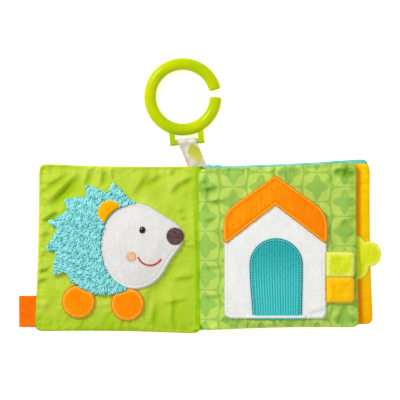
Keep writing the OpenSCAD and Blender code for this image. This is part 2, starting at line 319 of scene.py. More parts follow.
class Finish:
    """A material whose nodes are added one by one. Sockets are joined by passing them as inputs."""

    def __init__(self, name, colour, roughness, sheen=0.0, sheen_tint=None, specular=0.05):
        self.material = bpy.data.materials.new(name)
        self.material.use_nodes = True
        self.tree = self.material.node_tree
        self.shader = self.tree.nodes["Principled BSDF"]
        self.put(self.shader, {"Base Color": (*colour, 1), "Roughness": roughness, "Sheen Weight": sheen,
                               "Sheen Roughness": 0.5, "Sheen Tint": (*(sheen_tint or colour), 1),
                               "Specular IOR Level": specular})
        self.place = self.add("ShaderNodeTexCoord").outputs["Object"]

    def put(self, node, inputs):
        for key, value in inputs.items():
            if isinstance(value, bpy.types.NodeSocket):
                self.tree.links.new(value, node.inputs[key])
            else:
                node.inputs[key].default_value = value

    def add(self, kind, inputs=None, **settings):
        node = self.tree.nodes.new(kind)
        for key, value in settings.items():
            setattr(node, key, value)
        self.put(node, inputs or {})
        return node

    def sum(self, operation, *values):
        return self.add("ShaderNodeMath", dict(enumerate(values)), operation=operation).outputs[0]

    def weighted(self, *pairs):
        """Sum of values, each times its own weight."""
        total = 0.0
        for value, weight in pairs:
            total = self.sum("MULTIPLY_ADD", value, weight, total)
        return total

    def noise(self, per_mm, detail=2.0, roughness=0.5, place=None):
        inputs = {"Vector": place or self.place, "Scale": per_mm / MM, "Detail": detail,
                  "Roughness": roughness}
        return self.add("ShaderNodeTexNoise", inputs).outputs["Fac"]

    def waves(self, scale, distortion, detail, detail_scale, place=None, axis="X"):
        inputs = {"Vector": place or self.place, "Scale": scale, "Distortion": distortion, "Detail": detail,
                  "Detail Scale": detail_scale}
        return self.add("ShaderNodeTexWave", inputs, bands_direction=axis).outputs["Fac"]

    def attribute(self, name):
        return self.add("ShaderNodeAttribute", attribute_name=name).outputs["Fac"]

    def split(self, place):
        """The x, y and z of a place."""
        return self.add("ShaderNodeSeparateXYZ", {"Vector": place}).outputs

    def stretched(self, scale, turn=0.0):
        inputs = {"Vector": self.place, "Scale": scale, "Rotation": (0, 0, turn)}
        return self.add("ShaderNodeMapping", inputs).outputs["Vector"]

    def spread(self, value, low, high, to_low=0.0, to_high=1.0):
        """A value between two limits, spread over two others and held at their ends."""
        inputs = {"Value": value, "From Min": low, "From Max": high, "To Min": to_low, "To Max": to_high}
        return self.add("ShaderNodeMapRange", inputs).outputs["Result"]

    def blend(self, share, low, high, **settings):
        """Two colours, mixed by a share."""
        inputs = {0: share, 6: rgba(low), 7: rgba(high)}
        return self.add("ShaderNodeMix", inputs, data_type="RGBA", **settings).outputs[2]

    def ramp(self, value, low, high, from_low, from_high):
        """Two colours, mixed by where value lies between two limits."""
        return self.blend(self.spread(value, from_low, from_high), low, high)

    def colour(self, socket):
        self.put(self.shader, {"Base Color": socket})

    def deepened(self, colour, deep, attribute):
        """A colour with a second one mixed in by one of the mesh's own attributes, or as it is where there
        is none."""
        return colour if deep is None else self.blend(self.attribute(attribute), colour, deep)

    def bump(self, height, depth_mm, strength=1.0):
        """Relief of that depth from a height between 0 and 1, laid over any relief already there."""
        normal = self.shader.inputs["Normal"]
        inputs = {"Height": height, "Distance": depth_mm * MM, "Strength": strength}
        if normal.links:
            inputs["Normal"] = normal.links[0].from_socket
        self.tree.links.new(self.add("ShaderNodeBump", inputs).outputs["Normal"], normal)

    def weave(self, pitch_mm, depth_mm):
        """Plain weave: two crossed rows of waves, one thread apart."""
        scale = ONE_WAVE / (pitch_mm * MM)
        rows = [self.waves(scale, distortion=0.4, detail=1.0, detail_scale=3.0, axis=axis) for axis in "XY"]
        self.bump(self.sum("MAXIMUM", *rows), depth_mm)

    def woven(self):
        """Relief of woven cotton: its threads, and soft lumps under them."""
        self.weave(0.45, 0.05)
        self.bump(self.noise(0.12, 3.0), 0.5, 0.35)
        return self.material


def linear(red, green, blue):
    """A colour given in screen values from 0 to 255, as the light values that a shader takes."""
    c = np.array([red, green, blue]) / 255
    return tuple(np.where(c <= 0.04045, c / 12.92, ((c + 0.055) / 1.055) ** 2.4))


def cotton(name, shade, light, deep=None):
    """Woven cotton: thread relief, slubs along the weft, and a tone that wanders slowly between two shades.
    Where the piece has an attribute "crease", the colour deep is mixed in by it: painted shade on the leaves,
    and the cover's lime on the spine cloth."""
    finish = Finish(name, light, roughness=0.85, sheen=0.12)
    slubs = finish.noise(1.0, place=finish.stretched((0.12, 1.6, 1.0)))
    tone = finish.weighted((finish.noise(0.05, 3.0), 0.7), (slubs, 0.3))
    finish.colour(finish.deepened(finish.ramp(tone, shade, light, 0.38, 0.6), deep, "crease"))
    return finish.woven()


def velour(name, shade, light, nap_mm=0.5, depth_mm=0.25, sheen=0.4, deep=None):
    """Short nap: fine speckle in tone and relief, brushed streaks and patches, and a soft sheen. Where the
    piece has an attribute "tone", it mixes in the colour deep by it, which paints shade on some pieces and
    a highlight on others."""
    finish = Finish(name, light, roughness=0.95, sheen=sheen)
    speckle = finish.noise(0.5 / nap_mm, 3.0, 0.6)
    brushed = finish.noise(1.0, place=finish.stretched((0.7, 0.12, 1.0)))
    tone = finish.weighted((speckle, 0.45), (brushed, 0.35), (finish.noise(0.07), 0.2))
    finish.colour(finish.deepened(finish.ramp(tone, shade, light, 0.38, 0.62), deep, "tone"))
    finish.bump(speckle, depth_mm)
    return finish.material


def nap(name, light):
    """Loose fibres at a velour's edge: a colour paler than the cloth, painted light on the fringe, with a
    soft sheen, a little uneven, and no relief.
    """
    finish = Finish(name, light, roughness=0.95, sheen=0.6)
    finish.colour(finish.ramp(finish.noise(0.6, 1.0), tuple(0.85 * c for c in light), light, 0.35, 0.6))
    return finish.material


def thread(name, shade, light, turn=0.0, pitch_mm=0.45):
    """Satin stitch: close parallel threads with a slight gloss, speckled where single threads catch the
    light."""
    finish = Finish(name, light, roughness=0.6, specular=0.08)
    rows = finish.waves(ONE_WAVE / (pitch_mm * MM), distortion=1.2, detail=2.0, detail_scale=2.0,
                        place=finish.stretched((1, 1, 1), turn))
    tone = finish.weighted((rows, 0.4), (finish.noise(0.75), 1.0))
    finish.colour(finish.ramp(tone, shade, light, 0.45, 0.95))
    finish.bump(rows, 0.08)
    return finish.material


def printed_cotton(name, ground, star, line, deep, cell_mm, origin_mm):
    """Cotton printed with columns of round-cornered cells, each column dropped by half a cell.

    In a cell, u and v run from -1 to 1. The pale field is where u^4 + v^4 is under a limit, the line is
    what is left outside it, and the star is two crossed pointed ovals, |u| < w (1 - |v / r|^3) and |v| < w
    (1 - |u / r|^3)."""
    oval_half, oval_reach = 0.36, 0.9
    finish = Finish(name, ground, roughness=0.85, sheen=0.12)
    m = finish.sum

    def across_cell(value):
        return m("SUBTRACT", m("MULTIPLY", m("FRACT", value), 2.0), 1.0)

    def oval(near, far):
        taper = m("SUBTRACT", 1.0, m("POWER", m("ABSOLUTE", m("DIVIDE", far, oval_reach)), 3.0))
        return m("SUBTRACT", m("MULTIPLY", taper, oval_half), m("ABSOLUTE", near))

    x, y = (m("DIVIDE", m("SUBTRACT", value, start * MM), cell * MM)
            for value, start, cell in zip(finish.split(finish.place), origin_mm, cell_mm))
    y = m("ADD", y, m("MULTIPLY", m("FLOORED_MODULO", m("FLOOR", x), 2.0), 0.5))
    u, v = across_cell(x), across_cell(y)
    field = m("ADD", m("POWER", m("ABSOLUTE", u), 4.0), m("POWER", m("ABSOLUTE", v), 4.0))
    inked = finish.blend(finish.spread(field, 0.80, 0.90), ground, line)
    inked = finish.blend(finish.spread(m("MAXIMUM", oval(u, v), oval(v, u)), -0.02, 0.03), inked, star)
    wash = finish.spread(finish.noise(0.06, 3.0), 0.3, 0.7, 0.86, 1.05)
    washed = finish.blend(1.0, inked, wash, blend_type="MULTIPLY")
    # The attribute "crease" mixes in the deep colour, which is painted shade.
    finish.colour(finish.deepened(washed, deep, "crease"))
    return finish.woven()


# The deep colours of LIME, YELLOW and PRINT are painted shade. SPINE is a darker green that stands in for the
# shade in the gutter, and its deep colour is the cover's lime, where it lies on the cover.
LIME = cotton("lime_cotton", linear(178, 206, 46), linear(196, 216, 72), linear(152, 190, 12))
YELLOW = cotton("yellow_cotton", linear(249, 188, 2), linear(255, 207, 6), linear(255, 138, 0))
TURQUOISE = cotton("turquoise_cotton", linear(98, 188, 184), linear(150, 212, 202))
PRINT = printed_cotton("green_print", linear(190, 219, 98), linear(154, 198, 86), linear(158, 197, 80),
                       linear(122, 172, 44), (22.0, 23.2), (14.4, 2.6))
SPINE = cotton("spine_cloth", linear(134, 184, 6), linear(164, 208, 22), linear(180, 208, 50))

# Leaves

COVER_T, PAGE_T, SEAM_T, EDGE_ROLL = 6.0, 5.0, 1.6, 9.0
SIM_CELLS, LEAF_CELLS = 64, 132
FORE, TAIL = 1, 2  # places in what Leaf.edges returns


class Leaf:
    """A padded leaf: two cloths sewn together round the edge.

    s runs from -1 at the spine to 1 at the fore edge, and t from -1 at the tail to 1 at the head."""

    def __init__(self, node, thick, spine_roll, rise, shifts, bunch=0.0):
        self.low, self.high = box_mm(node)
        self.node, self.thick, self.spine_roll, self.rise, self.bunch = node, thick, spine_roll, rise, bunch
        self.side = 1 if self.low[0] > 0 else -1
        self.spine_x, self.fore_x = (self.low[0], self.high[0])[:: self.side]
        self.width, self.height = abs(self.fore_x - self.spine_x), self.high[1] - self.low[1] - rise
        self.mid_y = (self.low[1] + self.high[1] - rise) / 2
        self.flat_top = self.high[2]
        self.seam_z = self.low[2] + SEAM_T / 2
        self.shifts = np.array(shifts, float).reshape(2, 2, 2)
        self.s, self.t = self.grid(LEAF_CELLS)
        self.x, self.y = self.plan(self.s, self.t)
        self.margins = self.edges(self.s, self.t)
        self.top, self.under = self.heights(self.s, self.t)
        # Share of painted shade in the upper cloth's colour, kept as the mesh attribute "crease".
        self.crease = np.zeros_like(self.top)

    @staticmethod
    def grid(cells):
        axis = np.linspace(-1, 1, cells + 1)
        return np.meshgrid(axis, axis, indexing="ij")

    def plan(self, s, t):
        """Plan of the leaf: four corners, each shifted as it lies, blended bilinearly; corners rounded by
        drawing points in to a superellipse; sides that pull in between the corners; and a head that may
        bunch out in two bells beside the spine."""
        power, pull = 26.0, 1.2
        largest = np.maximum(np.maximum(np.abs(s), np.abs(t)), 1e-6)
        inset = np.maximum((np.abs(s) / largest) ** power + (np.abs(t) / largest) ** power, 1) ** (-1 / power)
        inset = 1 + (inset - 1) * smooth_step(largest, 0.6, 1.0)
        s, t = s * inset, t * inset
        u, v = (s + 1) / 2, (t + 1) / 2
        shift = sum((a * b)[..., None] * self.shifts[i, j]
                    for i, a in enumerate((1 - u, u)) for j, b in enumerate((1 - v, v)))
        x = self.spine_x + (self.fore_x - self.spine_x) * u
        x = x - self.side * pull * (1 - t**2) * np.clip(s, 0, 1) ** 8
        y = self.mid_y + t * self.height / 2 + self.rise * u - np.sign(t) * pull * (1 - s**2) * np.abs(t) ** 8
        out = u * self.width
        bunch = self.bunch * (bell(out, 4.5, 2.2) + 0.6 * bell(out, 11.5, 2.6)) * smooth_step(t, 0.8, 1.0)
        return x + shift[..., 0], y + shift[..., 1] + bunch

    def edges(self, s, t):
        """Distance in millimetres from the spine, the fore edge, the tail and the head."""
        return ((1 + s) * self.width / 2, (1 - s) * self.width / 2,
                (1 + t) * self.height / 2, (1 - t) * self.height / 2)

    def heights(self, s, t):
        """Top and underside: a middle that climbs from the spine by a quarter round, and half a thickness
        that grows from the seam by a quarter round of the distance from the nearest edge."""
        edges = self.edges(s, t)
        rolls = (self.spine_roll, EDGE_ROLL, EDGE_ROLL, EDGE_ROLL)
        near = sum(np.maximum(d / r, 1e-3) ** -6.0 for d, r in zip(edges, rolls))
        half = SEAM_T / 2 + (self.thick - SEAM_T) / 2 * roll(near ** (-1 / 6))
        climb = self.flat_top - self.thick / 2 - self.seam_z
        middle = self.seam_z + climb * roll(edges[0] / self.spine_roll)
        return middle + half, np.maximum(middle - half, self.low[2])

    def locate(self, x, y):
        """s and t of a point in plan, by correcting a first guess by how far its plan misses the point."""
        s, t = np.zeros_like(x), np.zeros_like(y)
        for _ in range(12):
            px, py = self.plan(s, t)
            s = np.clip(s + (x - px) * self.side * 2 / self.width, -1, 1)
            t = np.clip(t + (y - py) * 2 / self.height, -1, 1)
        return s, t

    def height_at(self, x, y):
        """Height of the upper cloth at points in plan, between the four nearest points of its grid."""
        s, t = self.locate(np.asarray(x, float), np.asarray(y, float))
        i, j = (s + 1) / 2 * LEAF_CELLS, (t + 1) / 2 * LEAF_CELLS
        i0, j0 = np.minimum(i.astype(int), LEAF_CELLS - 1), np.minimum(j.astype(int), LEAF_CELLS - 1)
        i, j = i - i0, j - j0
        return (self.top[i0, j0] * (1 - i) * (1 - j) + self.top[i0 + 1, j0] * i * (1 - j)
                + self.top[i0, j0 + 1] * (1 - i) * j + self.top[i0 + 1, j0 + 1] * i * j)

    def lifted(self, lift):
        """Height of the upper cloth and that much more, as a function of the plan."""
        return lambda x, y, _=None: self.height_at(x, y) + lift

    def gather(self, depth):
        """Gathers beside the seams: dips across each edge, deepest a few millimetres in, whose spacing
        wanders. The underside only draws in, so that it never reaches below the table."""
        spine, fore, tail, head = self.margins
        deepest = 3.0
        dips = 0
        for distance, run, phase in ((fore, self.y, 0.3), (tail, self.x, 1.9), (head, self.x, 4.1)):
            wave = np.sin(run * 0.62 + 1.7 * np.sin(run * 0.13 + phase) + phase)
            fine = np.sin(run * 1.31 + 2.3 * np.sin(run * 0.21 + phase) - phase)
            dips = dips + (0.65 * wave + 0.35 * fine) * (distance / deepest) * np.exp(1 - distance / deepest)
        fade = smooth_step(spine, self.spine_roll, 2 * self.spine_roll)
        self.top = self.top - depth * fade * dips
        self.under = self.under + 0.6 * depth * fade * np.maximum(dips, 0)

    def fold(self, *lines):
        """Soft folds along lines (x0, y0, x1, y1, height, width): across a line the cloth dips on one side
        and rises on the other, as the slope of a bell curve and of one half as wide, and along it the fold
        grows and fades by half a sine wave. The dips get painted shade: a deeper colour mixed in by the
        attribute "crease"."""
        clear = smooth_step(np.min(self.margins, axis=0), 0.0, 3.5)
        for x0, y0, x1, y1, height, width in lines:
            run_x, run_y = x1 - x0, y1 - y0
            length = math.hypot(run_x, run_y)
            along = ((self.x - x0) * run_x + (self.y - y0) * run_y) / length**2
            across = ((self.x - x0) * run_y - (self.y - y0) * run_x) / (length * width)
            slopes = sum(share * a * np.exp((1 - a**2) / 2)
                         for share, a in ((0.95, across), (0.4, 2 * across)))
            swing = height * clear * slopes * np.sin(math.pi * np.clip(along, 0, 1))
            self.top = self.top + swing
            self.crease = self.crease + 0.7 * np.maximum(0, -swing)

    def paint_edge_shade(self, edge, share, start, end):
        """Painted shade towards one of the edges: a deeper colour, that share of it up to a start, and none
        beyond an end.
        """
        self.crease = self.crease + share * (1 - smooth_step(self.margins[edge], start, end))

    def ripple(self, held, depth):
        """Slack in the cloth between the sewn-on shapes: slanting waves whose spacing wanders, in patches,
        smoothed away where the cloth is held."""
        x, y = self.x, self.y
        free = np.where(held(x, y), 0.0, 1.0)
        for _ in range(8):
            wide = np.pad(free, 1, mode="edge")
            free = (wide[:-2, 1:-1] + wide[2:, 1:-1] + wide[1:-1, :-2] + wide[1:-1, 2:]) / 4
        slant = 0.75 * x - 0.66 * y
        wave = np.sin(0.42 * slant + 1.6 * np.sin(0.07 * x + 0.11 * y) + 0.9 * np.sin(0.19 * y + 0.05 * x))
        patch = 0.55 + 0.45 * np.sin(0.09 * x + 1.0) * np.sin(0.08 * y + 0.5)
        clear = smooth_step(np.min(self.margins, axis=0), 1.0, 9.0)
        self.top = self.top + depth * wave * patch * free * clear

    def puff(self, held, pressure, spare, cap):
        """Cloth simulation of the upper cloth: sewn down round the edge and where `held` is true, cut
        larger than the space it spans by the share `spare`, and pushed out by the wadding's pressure. Its
        heights are kept."""
        s, t = self.grid(SIM_CELLS)
        x, y = self.plan(s, t)
        top, under = self.heights(s, t)
        swell = simulate(x, y, top, under, held(x, y), pressure, spare)
        self.top = self.top + finer(np.clip(swell - top, -cap, cap), LEAF_CELLS + 1, LEAF_CELLS + 1)

    def piece(self, name, body, upper, lower, peep=(0.0, 0.0)):
        """The leaf's mesh: upper cloth, a groove along the seam, and lower cloth, which may lie a little to
        one side so that its edge peeps out."""
        self.top = np.maximum(self.top, self.under + 0.5)
        points, faces = strip(np.stack([self.x, self.y, self.top], -1),
                              np.stack([self.x + peep[0], self.y + peep[1], self.under], -1), groove=0.5)
        slots = np.concatenate([np.full(len(f), k) for f, k in zip(faces, (0, 1, 0, 1))])
        # The attribute "crease" carries the painted shade of the folds and edges.
        obj = add_piece(name, points, faces, [upper, lower], slots, {"crease": on_upper(self.crease, points)})
        dress(obj, body, self.node)


def simulate(x, y, top, under, held, pressure, spare, frames=22, scale=10.0):
    """Blender's Cloth on a closed pillow of two grids. All of the lower grid, the edge and the held points
    are pinned.

    Worked ten times as large as life, which suits the solver. Returns the upper grid's heights."""
    n = x.shape[0]
    number = np.arange(n * n).reshape(n, n)
    edge = np.zeros((n, n), bool)
    edge[[0, -1], :] = edge[:, [0, -1]] = True
    twin = np.where(edge, number, number + n * n)
    quads = grid_quads(n, n)
    points = np.concatenate([np.stack([x, y, z], -1).reshape(-1, 3) for z in (top, under)])
    if (x[-1, 0] - x[0, 0]) * (y[0, -1] - y[0, 0]) > 0:
        quads = quads[:, ::-1]
    obj = add_piece("cloth_trial", points * scale, [quads[:, ::-1], twin.ravel()[quads]], [])
    fixed = np.concatenate([np.flatnonzero((edge | held).ravel()), n * n + np.arange(n * n)])
    obj.vertex_groups.new(name="sewn").add(fixed.tolist(), 1.0, "REPLACE")
    cloth = obj.modifiers.new("wadding", "CLOTH")
    settings = {"quality": 6, "mass": 0.25, "tension_stiffness": 12, "compression_stiffness": 12,
                "shear_stiffness": 4, "bending_stiffness": 0.15, "air_damping": 4, "use_pressure": True,
                "uniform_pressure_force": pressure, "shrink_min": -spare, "vertex_group_mass": "sewn"}
    for key, value in settings.items():
        setattr(cloth.settings, key, value)
    cloth.settings.effector_weights.gravity = 0
    cloth.collision_settings.use_collision = False
    cloth.point_cache.frame_start, cloth.point_cache.frame_end = 1, frames
    scene = bpy.context.scene
    for f in range(1, frames + 1):
        scene.frame_set(f)
    settled = obj.evaluated_get(bpy.context.evaluated_depsgraph_get()).to_mesh()
    heights = np.zeros(len(settled.vertices) * 3, np.float32)
    settled.vertices.foreach_get("co", heights)
    scene.frame_set(1)
    bpy.data.objects.remove(obj)
    return heights.reshape(-1, 3)[: n * n, 2].reshape(n, n) / (scale * MM)


front = Leaf("front_cover", COVER_T, spine_roll=7.0, rise=1.5,
             shifts=[(1.5, -2.4), (-1.2, 0), (-1.2, -2.0), (2.6, 0.6)])
house = Leaf("house_page", PAGE_T, spine_roll=7.0, rise=2.5,
             shifts=[(-2.5, 1.1), (-4.2, -1.6), (-0.6, 1.3), (-2.7, 1.0)])
yellow = Leaf("yellow_page", PAGE_T, spine_roll=10.0, rise=3.0,
              shifts=[(0, 2.0), (1.5, -3.0), (0, 2.5), (-2.4, 0.0)])
back = Leaf("back_cover", COVER_T, spine_roll=10.0, rise=6.5,
            shifts=[(0, 0), (0, 0.6), (0, 0), (1.0, 0.2)], bunch=2.0)
for leaf, depth in ((front, 0.7), (house, 0.8), (yellow, 0.4), (back, 0.5)):
    leaf.gather(depth)
front.fold((-97, 61, -123, 34, 2.0, 3.1), (-89, 64, -93, 48, 1.2, 2.1), (-78, 63, -80, 48, 1.0, 2.1),
           (-113, 30, -127, 22, 1.4, 2.2), (-119, 14, -131, 7, 1.0, 2.1), (-5, 58, -20, 50, 1.1, 2.4),
           (-17, 53, -25, 43, 1.1, 2.4), (-22, 65, -25, 57, 1.0, 1.8), (-13, 33, -19, 28, 0.7, 2.2),
           (-4, -22, -22, -24.5, 0.9, 2.2), (-11, 26, -17, 23.5, 0.6, 2.0), (-104, 62, -128, 46, 1.0, 2.3),
           (-120, -16, -132, -18, 1.0, 1.7), (-121, -24, -132, -25.5, 1.0, 1.7), (-40, 64, -56, 40, 0.9, 2.6),
           (-30, 60, -46, 50, 0.9, 2.5), (-36, -40, -40, -66, 0.9, 2.3), (-22, -36, -24, -64, 0.8, 2.2),
           (-10, -40, -30, -44, 0.8, 2.1), (-74, -48, -80, -67, 0.6, 2.6), (-116, -36, -131, -56, 0.5, 3.0))
house.fold((14, 49, -2, 47, 1.2, 2.0), (6, 53.5, -2, 53, 1.0, 1.7), (20, 38.8, 5, 37.5, 1.0, 1.7),
           (12, 24.5, 1, 22, 0.8, 1.8), (116, 64, 104, 61.5, 1.5, 2.1), (122, 61, 112, 60.5, 1.2, 1.7),
           (116, 66, 110, 55, 1.1, 2.1), (104, 60, 98, 50, 0.7, 2.5), (100, -58, 10, -60, 0.7, 3.1),
           (112, -40, 106, -62, 0.8, 2.3), (20, -13, 0, -15, 0.7, 1.8), (18, -36, 0, -38, 0.8, 2.0),
           (122, 24, 106, 20, 0.6, 2.2), (122, -6, 118, -30, 0.7, 2.2), (100, -46, 84, -50, 0.6, 2.0))
# Painted shade: a deeper colour towards the tails of the front cover and the yellow page, and along the house
# page's fore edge.
front.paint_edge_shade(TAIL, share=0.55, start=2.0, end=26.0)
yellow.paint_edge_shade(TAIL, share=0.35, start=5.0, end=60.0)
house.paint_edge_shade(FORE, share=0.4, start=1.0, end=10.0)
# Painted shadow of the house page on the yellow page, beside the house page's fore edge.
fore_x, fore_y = house.plan(np.ones(60), np.linspace(-1, 1, 60))
past_house = yellow.x - np.interp(yellow.y, fore_y, fore_x)
yellow.crease += 0.8 * (1 - smooth_step(past_house, 0.5, 5.5))

# Outlines of the sewn-on shapes, the same as the solids'

BODY_CENTRE, BODY_R, SPIKE_LEN = np.array([-75.5, 4.0]), 40.0, 8.5
SPIKE_COUNT, SPIKE_FROM, SPIKE_TO, SPIKE_LEAN = 6, 62.0, 214.0, 0.85
FACE_CENTRE, FACE_R, FACE_TALL = BODY_CENTRE + [23, -2], 31.0, 0.1
SNOUT_LEN, SNOUT_ANGLE, SNOUT_SPREAD = 11.0, 14.0, 26.0
BODY_T, EAR_T, FOOT_T, WALL_T, ROOF_T, DOOR_T = 2.8, 2.0, 2.0, 1.8, 0.8, 1.1
ROOF_BAND, SHOULDER_R, SHOULDER_RISE, WALL_CORNER_R = 23.0, 22.0, 12.0, 5.0
angles, fine_angles = (np.linspace(0, 360, count, endpoint=False) for count in (240, 480))


def body_radius(angle):
    """Round body; along the back each spike climbs by a power curve to its tip and drops steeply behind
    it."""
    turn = (angle - SPIKE_FROM) % 360
    share = turn * SPIKE_COUNT / (SPIKE_TO - SPIKE_FROM) % 1
    climb = (share / SPIKE_LEAN) ** 1.4
    drop = (1 - share) / (1 - SPIKE_LEAN)
    return BODY_R + np.where(turn < SPIKE_TO - SPIKE_FROM, SPIKE_LEN * np.minimum(climb, drop), 0)


def face_radius(angle):
    """Egg taller than wide, with a bell-shaped swelling for the snout."""
    turn = (angle - SNOUT_ANGLE + 180) % 360 - 180
    return FACE_R * (1 - FACE_TALL * np.cos(2 * np.radians(angle))) + SNOUT_LEN * bell(turn, 0, SNOUT_SPREAD)


def polar(centre, radius, at=angles):
    """Closed outline from a centre and a radius for each angle in degrees."""
    a = np.radians(at)
    return np.asarray(centre) + np.broadcast_to(radius, a.shape)[:, None] * plan_of(np.cos(a), np.sin(a))


def cut_disc(centre, radius, others, gap=0.2):
    """Outline of a disc that stops short of other outlines: each ray from the centre ends where it enters
    one."""
    share = np.linspace(0, 1, 120)
    rays = polar((0, 0), radius)
    walk = np.asarray(centre) + rays[:, None, :] * share[:, None]
    blocked = np.any([inside(walk, other) for other in others], axis=0)
    first = np.where(blocked.any(1), np.argmax(blocked, 1) - 1, len(share) - 1)
    reach = np.maximum(share[np.maximum(first, 2)] - gap / radius, 0.05)
    even = np.mean([np.roll(reach, k) for k in range(-4, 5)], axis=0)
    return np.asarray(centre) + rays * np.minimum(reach, even)[:, None]


def disc_of(node):
    """Centre and radius of a round CAD node, from its box."""
    low, high = box_mm(node)
    return (low[:2] + high[:2]) / 2, (high[0] - low[0]) / 2


body_outline = polar(BODY_CENTRE, body_radius(fine_angles), fine_angles)
face_outline = polar(FACE_CENTRE, face_radius(angles))
feet = {node: disc_of(node) for node in ("left_foot", "right_foot")}
tab_boxes = {node: box_mm(node) for node in ("lime_tab", "yellow_tab")}
(wall_low, wall_high), (roof_low, roof_high), (door_low, door_high) = (
    box_mm(node) for node in ("house_wall", "house_roof", "house_door"))
HOUSE_X, EAVES_Y, RIDGE_Y = (roof_low[0] + roof_high[0]) / 2, roof_low[1], roof_high[1]
wall_outline = even_path(np.concatenate([
    arc((wall_low[0] + WALL_CORNER_R, wall_low[1] + WALL_CORNER_R), WALL_CORNER_R, 180, 270, 8),
    arc((wall_high[0] - WALL_CORNER_R, wall_low[1] + WALL_CORNER_R), WALL_CORNER_R, 270, 360, 8),
    [[wall_high[0], EAVES_Y], [HOUSE_X, wall_high[1]], [wall_low[0], EAVES_Y]]]), 1.2, closed=True)


def front_held(x, y):
    """Where the front cover's cloth is sewn down under the hedgehog."""
    held = inside(plan_of(x, y), body_outline) | inside(plan_of(x, y), face_outline)
    for centre, radius in feet.values():
        held |= np.hypot(x - centre[0], y - centre[1]) < radius
    return held


def house_held(x, y):
    """Where the page's cloth is sewn down under the house and its tabs."""
    off = np.abs(x - HOUSE_X)
    roofed = (y > EAVES_Y) & (off * 0.75 + y < RIDGE_Y) & (off < roof_high[0] - HOUSE_X)
    held = inside(plan_of(x, y), wall_outline) | roofed
    for low, high in tab_boxes.values():
        held |= (x > low[0]) & (x < high[0]) & (y > low[1]) & (y < high[1])
    return held


front.puff(front_held, pressure=1.5, spare=0.035, cap=2.2)
house.puff(house_held, pressure=1.5, spare=0.035, cap=2.0)
front.ripple(front_held, depth=0.28)
house.ripple(house_held, depth=0.2)
front.piece("front_cover_cloth", "front_cover", LIME, YELLOW, peep=(-0.6, 0.4))
house.piece("house_page_cloth", "pages", PRINT, YELLOW)
yellow.piece("yellow_page_cloth", "pages", YELLOW, PRINT)
back.piece("back_cover_cloth", "back_cover", TURQUOISE, YELLOW)

# Sewn-on shapes


def sewn_shape(name, outline, centre, height, body, node, material, rings=26, sink=0.4, tone=None):
    """A shape sewn to the cloth: rays from a centre to a closed outline, closer together towards the edge.

    height(x, y, inset) gives the top, and the rim goes down into the cloth below, where it closes on one
    hub."""
    share = 1 - (1 - np.linspace(0, 1, rings + 1)[1:]) ** 1.8
    centre = np.asarray(centre, float)
    plan = centre + share[:, None, None] * (outline - centre)
    plan = np.concatenate([plan, plan[-1:]])
    inset = edge_distance(plan, outline)
    z = height(plan[..., 0], plan[..., 1], inset)
    z[-1] = height(plan[-1, :, 0], plan[-1, :, 1], 0 * inset[-1]) - sink
    crown = height(centre[:1], centre[1:], edge_distance(centre[None], outline))[0]
    hubs = np.array([[*centre, crown], [*centre, z[-1].min()]])
    rows, cols = z.shape
    points = np.concatenate([np.concatenate([plan, z[..., None]], -1).reshape(-1, 3), hubs])
    top_hub, low_hub = rows * cols, rows * cols + 1
    faces = [grid_quads(rows, cols, wrap_cols=True)[:, ::-1], fan(np.arange(cols), top_hub),
             fan((rows - 1) * cols + np.arange(cols), low_hub)[:, ::-1]]
    # The attribute "tone" carries the caller's painted shade and painted highlights.
    tones = {"tone": tone(points[:, 0], points[:, 1])} if tone else None
    cloth_piece(name, (points, faces), material, body, node, attributes=tones)


def painted_rim_highlight(outline, share, reach):
    """A painted highlight along a rim: its share runs from that share at an outline to none a reach inside
    it.
    """
    return lambda x, y: share * (1 - smooth_step(edge_distance(plan_of(x, y), outline), 0.3, reach))


def thread_line(name, path, radius, body, material, closed=False):
    """One thread laid along a path."""
    if closed:
        path = np.concatenate([path, path[:1]])
    taper = np.ones(len(path))
    taper[[0, -1]] = 1.0 if closed else 0.1
    cloth_piece(name, tubes(path[None], radius * taper[None]), material, body)


def running_stitches(name, path, body, material, length=2.2, gap=0.9, radius=0.34, closed=True):
    """A row of stitches: each thread comes up out of the cloth, lies along the path and goes back down."""
    total = path_length(path, closed)
    count = int(total / (length + gap))
    start = np.arange(count) * total / count
    share = np.linspace(0, 1, 6)
    paths = along_path(path, start[:, None] + share * length, closed)[0]
    paths[..., 2] += 0.45 * np.sin(math.pi * share) - 0.25
    taper = np.sqrt(np.maximum(0.04, np.sin(math.pi * share)))
    cloth_piece(name, tubes(paths, radius * taper[None], 5), material, body)


def rim_nap(name, outline, top, count, length, body, material, seed):
    """Nap round a sewn shape's rim: thin tapering fibres that stand out across the outline's own direction
    and a little up, leant at random, with drooping tips."""
    radius, spread, up, droop = 0.16, 0.5, 0.35, 0.35
    dice = np.random.default_rng(seed)
    at = dice.uniform(0, path_length(outline, True), count)
    roots, after, before = (along_path(outline, at + step, True)[0] for step in (0, 0.3, -0.3))
    x, y = outline.T
    turn = np.sign(np.sum(x * np.roll(y, -1) - np.roll(x, -1) * y))
    ahead = unit(after - before)
    z = top(roots[:, 0], roots[:, 1], np.zeros(count)) + dice.uniform(-0.3, 1.0, count)
    roots = np.column_stack([roots, z])
    dice = np.random.default_rng(seed)
    lean = dice.normal(0, spread, roots.shape)
    way = unit(np.column_stack([turn * ahead[:, 1], -turn * ahead[:, 0], np.full(count, up)]) + lean)
    reach = length * dice.uniform(0.6, 1.1, (count, 1))
    tip = way + np.array([0, 0, -droop]) * dice.uniform(0, 1, (count, 1))
    paths = np.stack([roots - 0.2 * way, roots + 0.55 * reach * way, roots + reach * tip], 1)
    cloth_piece(name, tubes(paths, np.array([1.0, 0.8, 0.1])[None] * radius, 3), material, body)


